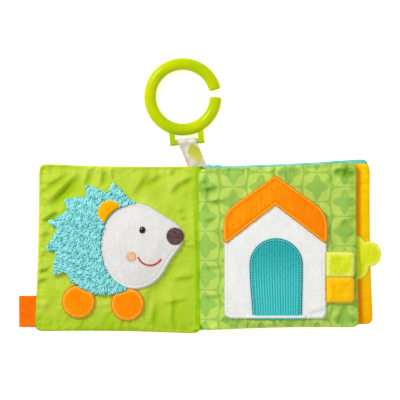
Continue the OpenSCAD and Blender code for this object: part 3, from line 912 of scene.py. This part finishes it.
def napped_shape(node, outline, centre, height, body, material, fibres, **shape):
    """A sewn shape that stands for a CAD node, and nap round its rim: fibres is their count, length, finish
    and seed."""
    count, length, finish, seed = fibres
    sewn_shape(node + "_cloth", outline, centre, height, body, node, material, **shape)
    rim_nap(node + "_nap", outline, height, count, length, body, finish, seed)


def scatter(low, high, spacing, seed, jitter):
    """Points of a staggered lattice over a rectangle, each moved a little at random."""
    row_share = 0.866  # between rows, as a share of the spacing, so that neighbours form even triangles
    rows = np.arange(low[1], high[1], spacing * row_share)
    cols = np.arange(low[0], high[0], spacing)
    x, y = np.meshgrid(cols, rows)
    x = x + (np.arange(len(rows)) % 2)[:, None] * spacing / 2
    points = plan_of(x, y).reshape(-1, 2)
    return points + np.random.default_rng(seed).uniform(-jitter, jitter, points.shape) * spacing


# Finishes of the sewn-on shapes

WHITE_VELOUR = velour("white_velour", linear(229, 229, 225), linear(242, 242, 239), sheen=0.2)
# A greyer copy of the white velour: painted shade on the face.
FACE_VELOUR = velour("face_velour", linear(216, 214, 210), linear(233, 231, 228), sheen=0.2)
# The deep colours of ORANGE_VELOUR and AMBER_VELOUR are painted shade; those of FOOT_VELOUR and LIME_VELOUR
# are painted highlights at the rims.
ORANGE_VELOUR = velour("orange_velour", linear(246, 130, 2), linear(255, 164, 16), deep=linear(246, 104, 0))
FOOT_VELOUR = velour("orange_velour", linear(248, 124, 0), linear(255, 152, 8), deep=linear(255, 182, 64))
AMBER_VELOUR = velour("yellow_velour", linear(250, 168, 0), linear(255, 194, 4), deep=linear(244, 134, 0))
LIME_VELOUR = velour("lime_velour", linear(206, 220, 20), linear(232, 238, 50), deep=linear(240, 244, 110))
# The terry ground is as dark as the feet of the loops: painted shade between them.
TEAL_BASE = velour("terry_ground", linear(30, 170, 164), linear(60, 190, 186), nap_mm=0.9, depth_mm=0.4,
                   sheen=0.1)
# Each nap is paler than its cloth: painted light on the fibres at the rims.
WHITE_NAP, ORANGE_NAP = nap("white_nap", linear(246, 246, 243)), nap("orange_nap", linear(255, 170, 48))
AMBER_NAP, MARKER_NAP = nap("amber_nap", linear(255, 200, 20)), nap("marker_nap", linear(236, 242, 80))
WHITE_THREAD = thread("white_thread", linear(232, 231, 227), linear(250, 250, 248))
ORANGE_THREAD = thread("orange_thread", linear(255, 160, 14), linear(255, 192, 56))
TEAL_THREAD = thread("teal_thread", linear(84, 198, 200), linear(132, 224, 224))
BROWN_THREAD = thread("brown_thread", linear(48, 32, 36), linear(146, 110, 110), turn=0.5, pitch_mm=0.7)
BLACK_THREAD = thread("black_thread", linear(28, 20, 20), linear(70, 56, 56), turn=0.2)
PEACH_THREAD = thread("peach_thread", linear(240, 184, 140), linear(255, 216, 180), turn=1.2)
RED_THREAD = thread("red_thread", linear(190, 30, 40), linear(236, 70, 80))


def terry_yarn():
    """Looped cotton yarn, with painted shade and light by the piece's attribute "tip": dark at the foot of a
    loop and pale at its top, with each patch a little different."""
    finish = Finish("turquoise_terry", linear(120, 212, 214), roughness=0.9, sheen=0.1,
                    sheen_tint=linear(40, 214, 212), specular=0.02)
    tone = finish.weighted((finish.attribute("tip"), 0.8), (finish.noise(0.6), 0.4))
    finish.colour(finish.ramp(tone, linear(0, 172, 164), linear(166, 241, 244), 0.36, 0.95))
    finish.put(finish.shader, {"Subsurface Weight": 0.15, "Subsurface Radius": (0.5, 1.0, 1.0),
                               "Subsurface Scale": 1.2 * MM})
    finish.bump(finish.noise(3.0), 0.15)
    return finish.material


def cord_cloth():
    """Cord cloth: painted shade and light by the piece's own attribute "rib", deep teal between the ribs and
    pale on them, with a short nap over it.
    """
    finish = Finish("turquoise_cord", linear(60, 184, 186), roughness=0.9, sheen=0.4,
                    sheen_tint=linear(120, 220, 220))
    tone = finish.weighted((finish.attribute("rib"), 0.65), (finish.noise(0.8), 0.6))
    finish.colour(finish.ramp(tone, linear(0, 136, 142), linear(84, 212, 208), 0.25, 1.0))
    finish.bump(finish.noise(2.0), 0.12)
    return finish.material


def satin_ribbon():
    """Satin: fine cross ribs and a soft shine, with pale leaf-shaped prints placed by the ribbon's own UV
    map. A leaf is where |across| < half width times (1 - |along / half length|^1.6)."""
    middle, half_wide, half_long = (10.2, 13.0), 5.8, 8.5
    finish = Finish("white_satin", linear(236, 232, 222), roughness=0.4, sheen=0.1, specular=0.3)
    m = finish.sum
    uv = finish.add("ShaderNodeUVMap", uv_map="cloth").outputs["UV"]
    across, along = (m("SUBTRACT", value, start) for value, start in zip(finish.split(uv), middle))
    taper = m("SUBTRACT", 1.0, m("POWER", m("DIVIDE", m("ABSOLUTE", along), half_long), 1.6))
    leaf = finish.spread(m("SUBTRACT", m("MULTIPLY", half_wide, taper), m("ABSOLUTE", across)), -0.1, 0.2)
    ink = finish.ramp(along, linear(224, 220, 96), linear(192, 202, 58), -4.0, 4.0)
    cloth = finish.ramp(finish.noise(0.16), linear(212, 203, 184), linear(236, 232, 223), 0.38, 0.6)
    finish.colour(finish.blend(leaf, cloth, ink))
    ribs = finish.waves(0.9, distortion=0.3, detail=2.0, detail_scale=1.0, place=uv, axis="Y")
    finish.bump(ribs, depth_mm=0.04)
    return finish.material


def label_ribbon():
    """Closely woven orange ribbon with little gloss."""
    finish = Finish("orange_ribbon", linear(252, 114, 2), roughness=0.7, sheen=0.1)
    finish.colour(finish.ramp(finish.noise(0.25), linear(248, 102, 0), linear(255, 124, 4), 0.3, 0.7))
    finish.weave(0.5, 0.09)
    return finish.material


def ring_plastic():
    """Glossy moulded plastic: even colour with a trace of flow in tone and a clear hard gloss."""
    finish = Finish("lime_plastic", linear(190, 207, 0), roughness=0.14, specular=0.18)
    finish.colour(finish.ramp(finish.noise(0.05), linear(170, 198, 0), linear(198, 208, 0), 0.3, 0.7))
    finish.put(finish.shader, {"Specular Tint": (1, 1, 0.45, 1)})
    return finish.material


# Hedgehog

FACE_STITCH, FACE_RIM, FACE_CROWN = 2.6, 2.2, 2.1
FINE_RINGS = 34  # rings of points on the shapes that have a groove along their stitches


def body_top(x, y, inset):
    """Terry ground, rolled at its edge, and sunk away where the face lies over it."""
    clear = smooth_step(signed_distance(plan_of(x, y), face_outline), -3.0, 0.5)
    rise = (BODY_T - 1.0) * roll(inset / 2.2) + 1.0 * smooth_step(inset, 1.0, 16.0)
    return front.height_at(x, y) + 0.2 + rise * clear


def face_top(x, y, inset=None):
    """Padded face: a low rolled edge, a groove along the row of stitches, and inside it a crown to the
    middle."""
    inset = edge_distance(plan_of(x, y), face_outline) if inset is None else inset
    groove = 0.65 * bell(inset, FACE_STITCH, 0.7)
    crown = FACE_CROWN * smooth_step(inset, FACE_STITCH, 18.0)
    return front.height_at(x, y) + FACE_RIM * roll(inset / 2.0) - groove + crown


sewn_shape("hedgehog_body_ground", body_outline, BODY_CENTRE, body_top, FRONT, "hedgehog_body", TEAL_BASE)
napped_shape("hedgehog_face", face_outline, FACE_CENTRE, face_top, FRONT, FACE_VELOUR,
             (900, 0.9, WHITE_NAP, 75), rings=FINE_RINGS)
face_seam = on_top(inset_path(face_outline, FACE_CENTRE, FACE_STITCH), face_top)
running_stitches("hedgehog_face_stitches", face_seam, FRONT, WHITE_THREAD)


def clumps(x, y):
    """How high the yarn stands, from 0 to 1: slanting tufts some eight millimetres long and four wide, as
    two crossed waves that slower ones bend."""
    along, across = 0.64 * x + 0.77 * y, 0.64 * y - 0.77 * x
    across = across + 1.1 * np.sin(0.35 * along + 0.5) + 0.6 * np.sin(0.9 * along - 0.4 * across)
    along = along + 2.2 * np.sin(0.6 * across + 2.0) + 1.0 * np.sin(0.3 * along + 1.1 * across)
    return 0.5 + 0.25 * (np.sin(1.6 * across + 0.2 * along) + np.sin(0.75 * along - 0.3 * across))


def terry_loops(spacing=1.2, yarn=0.6, sides=5, seed=7):
    """Loops of yarn all over the body: half rounds that stand up from the ground in clumps. Their lie
    wanders slowly over the body, by a sum of sines, and each loop departs from it at random."""
    dice = np.random.default_rng(seed)
    reach = BODY_R + SPIKE_LEN
    roots = scatter(BODY_CENTRE - reach, BODY_CENTRE + reach, spacing, seed, jitter=0.45)
    ear_centre, ear_r = disc_of("hedgehog_ear")
    rim = edge_distance(roots, body_outline)
    keep = inside(roots, body_outline) & (rim > 0.4)
    keep &= signed_distance(roots, face_outline) > 0.1
    keep &= np.hypot(*(roots - ear_centre).T) > ear_r - 1.5
    roots, rim = roots[keep], rim[keep, None]
    x, y = roots[:, :1], roots[:, 1:]
    tuft = clumps(x, y)
    z = body_top(x, y, rim) + 1.0 * (tuft - 0.6) * smooth_step(rim, 0.5, 3.0)
    sweep = np.radians(np.linspace(-25, 205, 7))
    lie = 0.9 + 0.5 * np.sin(0.13 * x + 0.05 * y) + 0.4 * np.sin(0.17 * y + 1.0)
    turn = lie + dice.normal(0, 0.45, x.shape)
    wide, tall, skew = (dice.uniform(*span, x.shape) for span in ((1.0, 1.8), (0.5, 1.1), (-0.9, 0.9)))
    out, side = wide * np.cos(sweep), skew * np.sin(sweep)
    x, y = turned(out, side, turn, x, y)
    paths = np.stack([x, y, z - 0.1 + tall * np.sin(sweep)], -1)
    width = np.array([0.5, 0.9, 1.0, 1.05, 1.0, 0.9, 0.5]) * yarn
    # Painted shade and light: dark at a loop's foot and on low clumps, pale at its top, on tall clumps and at
    # the body's edge.
    tip = 0.35 * np.clip(np.sin(sweep), 0, 1) + 0.75 * tuft + 0.25 * smooth_step(3.0 - rim, 0.0, 2.6)
    cloth_piece("hedgehog_body_loops", tubes(paths, width[None], sides), terry_yarn(), FRONT,
                attributes={"tip": np.repeat(tip.ravel(), sides)})


def satin_spot(name, node, material, rise, turn, pitch=0.62):
    """A round spot in satin stitch on the face: a low dome, and over it parallel threads from rim to rim."""
    centre, radius = disc_of(node)

    def top(x, y, inset):
        return face_top(x, y) + rise * (0.3 + 0.7 * roll(inset / (0.55 * radius)))

    outline = polar(centre, radius - 0.4, angles[::3])
    sewn_shape(name + "_ground", outline, centre, top, FRONT, node, material, rings=10, sink=0.6)
    count = int(2 * radius / pitch)
    offset = (np.arange(count) + 0.5) * pitch - count * pitch / 2
    dice = np.random.default_rng(count)
    reach = np.sqrt(np.maximum(0.3, radius**2 - offset**2)) + dice.uniform(-0.15, 0.25, count)
    share = np.linspace(-1, 1, 15)
    along, across = reach[:, None] * share, np.repeat(offset[:, None], len(share), 1)
    x, y = turned(along, across, turn, *centre)
    inset = np.maximum(0, radius - np.hypot(along, across))
    z = top(x, y, inset) + 0.12 - 0.35 * (np.abs(share) > 0.99)
    width = 0.55 * pitch * (1 - 0.5 * np.abs(share) ** 8)
    cloth_piece(name, tubes(np.stack([x, y, z], -1), width[None], 5), material, FRONT)


def eye_glint():
    """One short pale stitch that stands for the light in the eye."""
    centre, radius = disc_of("hedgehog_eye")
    path = centre + radius * np.array([[-0.35, 0.1], [-0.2, 0.35], [-0.05, 0.6]])
    thread_line("hedgehog_eye_glint", on_top(path, face_top) + [0, 0, 1.0], 0.42, FRONT, WHITE_THREAD)


def mouth():
    """A smile in two twisted threads: an arc on the face, with the threads winding round it."""
    centre, radius, step, twist = FACE_CENTRE + [12, -5], 10.0, 0.35, 2.2
    path = on_top(even_path(arc(centre, radius, 200, 330, 60), step), face_top)
    wind = np.linspace(0, len(path) * step / twist * TURN, len(path))
    out = unit(path[:, :2] - centre)
    paths = [path + np.column_stack([out * 0.3 * np.cos(w)[:, None], 0.35 + 0.25 * np.sin(w)])
             for w in (wind, wind + math.pi)]
    cloth_piece("hedgehog_mouth_thread", tubes(paths, 0.42), RED_THREAD, FRONT, "hedgehog_mouth")


def ear():
    """Cupped ear: a padded rim round a hollow, a bell-shaped dip that is deepest beside the face, and in the
    dip a deeper orange, painted shade.
    """
    centre, radius = disc_of("hedgehog_ear")
    hub, hollow = centre + [-2.5, 3.0], centre + [2.6, -2.4]
    outline = cut_disc(hub, radius + 4.0, [face_outline])
    away = np.linalg.norm(outline - centre, axis=1, keepdims=True)
    outline = centre + (outline - centre) * np.minimum(1, radius / away)

    def dip(x, y):
        return np.exp(-((x - hollow[0]) ** 2 + (y - hollow[1]) ** 2) / 30.0)

    def top(x, y, inset):
        rim = (EAR_T + 0.6) * roll(inset / 2.2)
        return front.height_at(x, y) + BODY_T - 0.6 + rim - 2.2 * dip(x, y) * smooth_step(inset, 0.0, 4.0)

    # tone=dip paints shade in the hollow.
    napped_shape("hedgehog_ear", outline, hub, top, FRONT, AMBER_VELOUR, (400, 0.7, AMBER_NAP, 71), sink=1.4,
                 tone=dip)


def foot_top(x, y, inset):
    """Padded foot with a rolled edge."""
    return front.height_at(x, y) + FOOT_T * (0.35 + 0.65 * roll(inset / 3.6))


terry_loops()
satin_spot("hedgehog_nose_stitching", "hedgehog_nose", BROWN_THREAD, rise=0.3, turn=0.7)
satin_spot("hedgehog_eye_stitching", "hedgehog_eye", BLACK_THREAD, rise=0.7, turn=1.3, pitch=0.5)
eye_glint()
satin_spot("hedgehog_cheek_stitching", "hedgehog_cheek", PEACH_THREAD, rise=0.5, turn=0.3)
mouth()
ear()
# FOOT_VELOUR's paler colour at each foot's rim is a painted highlight.
for node, (centre, radius) in feet.items():
    outline = cut_disc(centre, radius, [body_outline, face_outline])
    napped_shape(node, outline, centre, foot_top, FRONT, FOOT_VELOUR, (700, 0.9, ORANGE_NAP, 72),
                 tone=painted_rim_highlight(outline, share=0.9, reach=3.0))

# House

WALL_STITCH, ROOF_GROOVE, ROOF_BORDER, BORDER_R = 2.4, 2.3, 1.0, 0.75


def wall_top(x, y, inset=None):
    """Velour wall, rolled at its sewn edge, with a groove along its stitches."""
    inset = edge_distance(plan_of(x, y), wall_outline) if inset is None else inset
    return house.height_at(x, y) + WALL_T * roll((inset + 0.2) / 1.6) - 0.5 * bell(inset, WALL_STITCH, 0.65)


wall_centre = np.array([HOUSE_X, EAVES_Y - 14])
wall_seam = on_top(inset_path(wall_outline, wall_centre, WALL_STITCH), wall_top)
napped_shape("house_wall", wall_outline, wall_centre, wall_top, PAGES, WHITE_VELOUR,
             (1500, 0.9, WHITE_NAP, 76), rings=FINE_RINGS)
running_stitches("house_wall_stitches", wall_seam, PAGES, WHITE_THREAD)


def roof_half(side, count=70):
    """One half of the roof's outer edge, with its round shoulder, and of its inner edge, from the eave to
    the ridge."""
    eave = np.array([roof_high[0] if side > 0 else roof_low[0], EAVES_Y])
    shoulder = np.array([eave[0] - side * SHOULDER_R, EAVES_Y + SHOULDER_RISE])
    round_off = shoulder + [side, 1] * arc((0, 0), SHOULDER_R, 0, 48, 16)
    outer = np.concatenate([[eave], round_off, [[HOUSE_X, RIDGE_Y]]])
    inner = np.array([eave + [-side * 2.2, -0.6], [HOUSE_X, RIDGE_Y - ROOF_BAND]])
    at = np.linspace(0, 1, count) ** 0.9
    return [along_path(p, at * path_length(p))[0] for p in (outer, inner)]


def roof():
    """Roof band: a grid between the outer edge, with round shoulders, and the inner edge, a plain gable. A
    thick thread borders it, and in the groove beside the thread, and inside it the more so to the right, a
    deeper colour is painted shade."""
    outer, inner = (np.concatenate([a, b[-2::-1]]) for a, b in zip(roof_half(-1), roof_half(1)))
    share = (1 - np.cos(np.linspace(0, math.pi, 22))) / 2
    plan = outer[:, None, :] + (inner - outer)[:, None, :] * share[:, None]
    x, y = plan[..., 0], plan[..., 1]
    rim = np.concatenate([outer, inner[::-1]])
    inset = edge_distance(plan, rim)
    base = house.height_at(x, y) + WALL_T
    groove = bell(inset, ROOF_GROOVE, 0.6)
    top = base + ROOF_T * (0.1 + 0.9 * roll(inset / 2.4)) - 0.3 * groove
    points, faces = slab(x, y, top, base - 0.8 - 0.9 * (inset < 0.4))
    # Painted shade: in the groove, and over the band inside it, growing to the right.
    turned = 0.05 + 0.4 * smooth_step(x, HOUSE_X - 25, HOUSE_X + 40)
    tone = np.maximum(0.85 * groove, turned * smooth_step(inset, 1.6, 2.4))
    cloth_piece("house_roof_cloth", (points, faces), ORANGE_VELOUR, PAGES, "house_roof",
                attributes={"tone": on_upper(tone, points)})
    rim_nap("house_roof_nap", rim, house.lifted(WALL_T), 2600, 0.6, PAGES, ORANGE_NAP, 73)
    width = np.linalg.norm(inner - outer, axis=1)
    line_share = np.minimum(ROOF_BORDER / width, 0.5)[:, None]
    lines = [(a + (b - a) * line_share)[width > 2.4] for a, b in ((outer, inner), (inner, outer))]
    line = even_path(np.concatenate([lines[0], lines[1][::-1]]), 0.6, closed=True)
    seam = on_top(line, house.lifted(WALL_T + 0.3))
    thread_line("house_roof_seam", seam, BORDER_R, PAGES, ORANGE_THREAD, closed=True)


def door():
    """Cord-cloth door: columns from the foot to a round arch, with ribs by |cos| across the columns, a row
    of stitches round it and a white sill over its foot."""
    pitch, lip, stitch = 2.1, 1.9, 1.5
    centre, half = (door_low[0] + door_high[0]) / 2, (door_high[0] - door_low[0]) / 2
    foot, spring = door_low[1] - lip, door_high[1] - half

    def lean(x, y):
        """Sides that draw in by a share towards the foot, and a foot that lies a little to the right."""
        low = 1 - smooth_step(y, foot - 10, spring)
        return centre + 1.0 * low + (x - centre) * (1 - 0.09 * low)

    def leant(path):
        return plan_of(lean(path[:, 0], path[:, 1]), path[:, 1])

    u = half * np.sin(np.linspace(-1, 1, 231) * math.pi / 2)
    crown = spring + np.sqrt(np.maximum(0, half**2 - u**2))
    y = foot + (crown - foot)[:, None] * np.linspace(0, 1, 60)
    x = lean(centre + u[:, None], y)
    jamb = np.linspace(spring, foot, 20)
    left, right = (plan_of(np.full(20, centre + side * half), jamb[::-side]) for side in (-1, 1))
    outline = leant(np.concatenate([left, right, arc((centre, spring), half, 0, 180, 60)]))
    inset = edge_distance(plan_of(x, y), outline)
    rib = np.abs(np.cos(math.pi * u / pitch))[:, None] ** 0.8 * smooth_step(inset, 1.6, 2.6)
    rib = rib * (1 - 0.55 * smooth_step(y, spring - 20, spring + 14))
    base = house.height_at(x, y) + WALL_T * (0.5 + 0.5 * smooth_step(y, foot, door_low[1] + 1.0))
    top = base + DOOR_T * roll((inset + 0.15) / 1.0) + 0.6 * rib - 0.3 * bell(inset, 1.6, 0.5)
    points, faces = slab(x, y, top, base - 0.5)
    # The attribute "rib" paints shade between the ribs and is lower, so darker, along the door's edge and
    # towards the arch; below the sill it paints the lip pale, as painted light.
    ribs = on_upper(np.where(y < door_low[1], 0.9, rib), points)
    cloth_piece("house_door_cloth", (points, faces), cord_cloth(), PAGES, "house_door",
                attributes={"rib": ribs})
    ends = [[[centre + side * (half - stitch), door_low[1] + stitch]] for side in (1, -1)]
    bow = arc((centre, spring), half - stitch, 0, 180, 60)
    arch = leant(even_path(np.concatenate([ends[0], bow, ends[1]]), 0.5))
    seam = on_top(arch, house.lifted(WALL_T + DOOR_T + 0.2))
    running_stitches("house_door_stitches", seam, PAGES, TEAL_THREAD, gap=0.0, radius=0.62, closed=False)
    x, y = np.meshgrid(np.linspace(centre - half - 3, centre + half + 3, 50),
                       wall_low[1] + np.linspace(-0.2, 2.6, 9), indexing="ij")
    round_top = np.sqrt(np.maximum(0, 1 - ((y - y.mean()) / 1.4) ** 2))
    swell = round_top * smooth_step(half + 3 - np.abs(x - centre), 0, 2.0)
    z = house.height_at(x, y) + WALL_T + (DOOR_T + 0.6) * swell
    cloth_piece("house_door_sill", slab(x, y, z, z - 0.6), WHITE_VELOUR, PAGES)


def tabs():
    """Plush tabs: a folded strip with round corners at its free end, plump with a wavering top, and a pale
    napped rim, whose paleness is a painted highlight."""
    # The third colour of each tab is a painted highlight for its rim.
    shades = {"lime_tab": (linear(200, 216, 14), linear(228, 236, 52), linear(240, 244, 124)),
              "yellow_tab": (linear(250, 176, 0), linear(255, 204, 14), linear(255, 206, 40))}
    corner, tuck = 2.6, 0.8
    for seed, (node, (low, high)) in enumerate(tab_boxes.items()):
        corners = np.concatenate([
            [[low[0] - tuck, low[1]]], arc((high[0] - corner, low[1] + corner), corner, -90, 0, 8),
            arc((high[0] - corner, high[1] - corner), corner, 0, 90, 8), [[low[0] - tuck, high[1]]]])
        outline = even_path(corners, 0.5, closed=True)

        def top(x, y, inset):
            ground = np.maximum(house.height_at(x, y), low[2])
            lumps = 0.45 * np.sin(x * 0.42 + 2 * seed) * np.sin(y * 0.36 + 1.3)
            plump = (high[2] - low[2]) * (0.25 + 0.65 * roll(inset / 5.0))
            return ground + plump + lumps * smooth_step(inset, 0.5, 4.0)

        shade, light, pale = shades[node]
        plush = velour(node[:-4] + "_plush", shade, light, nap_mm=1.0, depth_mm=0.6, sheen=0.6, deep=pale)
        rim = (1500, 0.9, nap(node[:-4] + "_nap", pale), 60 + seed)
        napped_shape(node, outline, (low[:2] + high[:2]) / 2, top, PAGES, plush, rim, sink=0.8,
                     tone=painted_rim_highlight(outline, share=0.8, reach=4.5))


def page_marker():
    """Lobed velour marker between the inner pages: an outline of three overlapping discs, by the farthest
    reach of each ray from a hub."""
    base = box_mm("page_marker")[0][2]
    lobes = ((132.5, -4.0, 10.0), (123.5, -15.0, 9.0), (120.5, 1.0, 10.0))
    hub = np.array([124.0, -6.0])
    way = polar((0, 0), 1.0)
    reach = []
    for cx, cy, r in lobes:
        off = np.array([cx, cy]) - hub
        near = way @ off
        root = near**2 - off @ off + r * r
        reach.append(np.where(root > 0, near + np.sqrt(np.maximum(root, 0)), 0))
    outline = hub + way * np.max(reach, 0)[:, None]

    def top(x, y, inset):
        return base + 0.1 + 1.0 * roll(inset / 1.2)

    # A paler rim of LIME_VELOUR's deep colour: painted highlight.
    napped_shape("page_marker", outline, hub, top, PAGES, LIME_VELOUR, (500, 0.6, MARKER_NAP, 74), rings=14,
                 sink=0.7, tone=painted_rim_highlight(outline, share=0.7, reach=3.0))


roof()
door()
tabs()
page_marker()

# Ribbon, label and ring

RING_TURN = math.radians(5.5)
RIBBON_FOOT, RIBBON_RUN, RIBBON_LEAN, RIBBON_W = np.array([-3.2, 66.3]), 19.5, 6.0, 15.0
RING_Z, BAR_R, SPINE_T = 4.9, 2.0, 1.6
bar_axis = np.array([math.cos(RING_TURN), math.sin(RING_TURN)])
bar_away = np.array([-math.sin(RING_TURN), math.cos(RING_TURN)])
bar_centre = RIBBON_FOOT - RIBBON_LEAN * bar_axis + RIBBON_RUN * bar_away


def ribbon():
    """Ribbon loop: from the spine up to the bar, round it and back, carried across the bar's direction with
    a lean."""
    thick, clear, tuck = 0.45, 0.35, 2.5
    foot = SPINE_T / 2 - RING_Z
    run = even_path(np.concatenate([[[-RIBBON_RUN - tuck, foot + 0.25], [-RIBBON_RUN, foot + 0.45]],
                                    arc((0, 0), BAR_R + clear + thick / 2, 100, -100, 40),
                                    [[-RIBBON_RUN, foot - 0.45], [-RIBBON_RUN - tuck, foot - 0.35]]]), 0.5)
    width = np.linspace(-RIBBON_W / 2, RIBBON_W / 2, 25)

    def place(line):
        slack = np.sin(math.pi * np.clip(-line[:, :1] / RIBBON_RUN, 0, 1))
        crease = slack * (0.35 * np.sin(width * 0.55 + 0.4) - 0.5 * bell(width, -4.4, 1.3))
        across = width - RIBBON_LEAN / RIBBON_RUN * line[:, :1]
        plan = bar_centre + across[..., None] * bar_axis + line[:, :1, None] * bar_away
        return np.concatenate([plan, (RING_Z + line[:, 1:] + crease)[..., None]], -1)

    points, faces = folded(run, thick, place)
    length = path_length(run)
    uv = np.stack(np.meshgrid(width + RIBBON_W / 2, np.linspace(0, length, len(run))), -1).reshape(-1, 2)
    uv = np.concatenate([uv, uv, np.zeros((len(points) - 2 * len(uv), 2))])
    obj = cloth_piece("ribbon_cloth", (points, faces), satin_ribbon(), PAGES, "ribbon", uv=uv)


def side_label():
    """Bare woven label: a ribbon folded double, with the fold at its free end, sewn into the cover's edge."""
    low, high = box_mm("side_label")
    gap, thick = 0.32, 0.36
    middle = (low[2] + high[2]) / 2
    reach = np.linspace(high[0] + 0.6, low[0] + gap, 24)
    run = np.concatenate([plan_of(reach, np.full_like(reach, middle + gap)),
                          arc((low[0] + gap, middle), gap, 90, 270, 11),
                          plan_of(reach[::-1], np.full_like(reach, middle - gap))])
    y = np.linspace(low[1], high[1], 20)

    def place(line):
        sag = 0.5 * smooth_step(high[0] - line[:, :1], 0, 14) * np.sin((y - low[1]) * 0.21 + 0.6)
        return np.stack(np.broadcast_arrays(line[:, :1], y, line[:, 1:] - sag), -1)

    obj = cloth_piece("side_label_cloth", folded(run, thick, place), label_ribbon(), FRONT, "side_label")


ribbon()
side_label()
ring_finishes = nodes["clip_ring"].data.materials
ring_finishes.clear()
ring_finishes.append(ring_plastic())

# Spine

spine_low, spine_high = box_mm("spine_strip")


def spine_fold(name, profile, thick, waver):
    """Loose cloth along the spine: a profile of (x, z) points carried from tail to head, where it wavers
    and gathers. Its darker green is painted shade of the gutter; towards the front cover it lies down on
    the cover and its colour runs into the cover's."""
    y = np.linspace(spine_low[1] + 0.6, spine_high[1] - 0.6, 150)

    def place(line):
        x, across = np.broadcast_arrays(line[:, :1] + waver * np.sin(y * 0.11 + 0.7), y)
        z = line[:, 1:] + 0.3 * waver * np.sin(y * 0.9 + 2.0 * np.sin(y * 0.17))
        cover = front.height_at(x, across) - front.flat_top
        return np.stack([x, across, z + cover * smooth_step(-x, 3.5, 6.0)], -1)

    points, faces = folded(even_path(np.array(profile, float), 0.35), thick, place)
    # Share of the cover's colour over the painted gutter shade, where the cloth lies on the cover.
    crease = smooth_step(-points[:, 0], 2.5, 6.8)
    return add_piece(name, points, faces, [SPINE], attributes={"crease": crease})


def spine():
    """A sewn cord along the middle, a roll of cloth in the gutter, and a flat strip low along the spine."""
    y = np.linspace(spine_low[1] + 0.8, spine_high[1] - 0.8, 120)
    cord = np.stack([0.15 * np.sin(y * 0.2), y, 0.85 + 0.05 * np.sin(y * 1.7)], -1)
    cloth_piece("spine_cloth", tubes(cord[None], 0.78, 12), SPINE, PAGES, "spine_strip")
    bend = arc((-2.0, 4.0), 2.2, 60, 150, 12)
    # The gutter roll's darker green is painted shade of the gutter.
    gutter = spine_fold("gutter_roll", [(1.2, 1.2), (0.6, 3.2), *bend, (-5.2, 6.2), (-7.6, 5.5)], thick=0.5,
                        waver=0.35)
    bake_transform(gutter)
    under = spine_fold("back_fold", [(-0.9, 0.45), (0.6, 0.4), (2.0, 0.5), (3.4, 0.9)], thick=0.4, waver=0.1)
    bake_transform(under)


spine()

# Floor, light and camera


def add_object(name, data, place):
    obj = bpy.data.objects.new(name, data)
    obj.location = place
    bpy.context.scene.collection.objects.link(obj)
    return obj


def floor():
    """A pale table, a plain sheet far larger than the view."""
    half, depth = 3000.0, 0.4
    points = [[-half, -half, -depth], [half, -half, -depth], [half, half, -depth], [-half, half, -depth]]
    finish = Finish("table", (0.97, 0.97, 0.97), roughness=0.7, specular=0.1)
    finish.put(finish.shader, {"Emission Color": (1, 1, 1, 1), "Emission Strength": 0.5})
    add_piece("table", points, [np.array([[0, 1, 2, 3]])], [finish.material])


def lamp(name, place, size, power):
    """A square soft light, turned to the origin. Place and size are in metres."""
    light = bpy.data.lights.new(name, "AREA")
    light.size, light.energy = size, power
    add_object(name, light, place).rotation_euler = (-Vector(place)).to_track_quat("-Z", "Y").to_euler()


def camera():
    """Straight above the middle of the photograph, with +Y up the picture."""
    height, sensor = 1.15, 36.0
    off = (PHOTO_SIDE / 2 - np.array(PHOTO_SPINE_PX)) * [1, -1] * PHOTO_MM_PER_PX * MM
    data = bpy.data.cameras.new("camera")
    data.sensor_width = data.sensor_height = sensor
    data.sensor_fit = "HORIZONTAL"
    data.lens = sensor * height / (PHOTO_SIDE * PHOTO_MM_PER_PX * MM)
    bpy.context.scene.camera = add_object("camera", data, (*off, height))


floor()
lamp("key", (-0.72, 0.76, 1.0), size=0.4, power=13.5)
lamp("fill", (0.9, -0.3, 1.2), size=1.2, power=3.0)
camera()
world = bpy.data.worlds.new("studio")
world.use_nodes = True
sky = world.node_tree.nodes["Background"].inputs
sky["Color"].default_value, sky["Strength"].default_value = (1, 1, 1, 1), 0.52
bpy.context.scene.world = world
bpy.context.scene.view_settings.view_transform = "Standard"
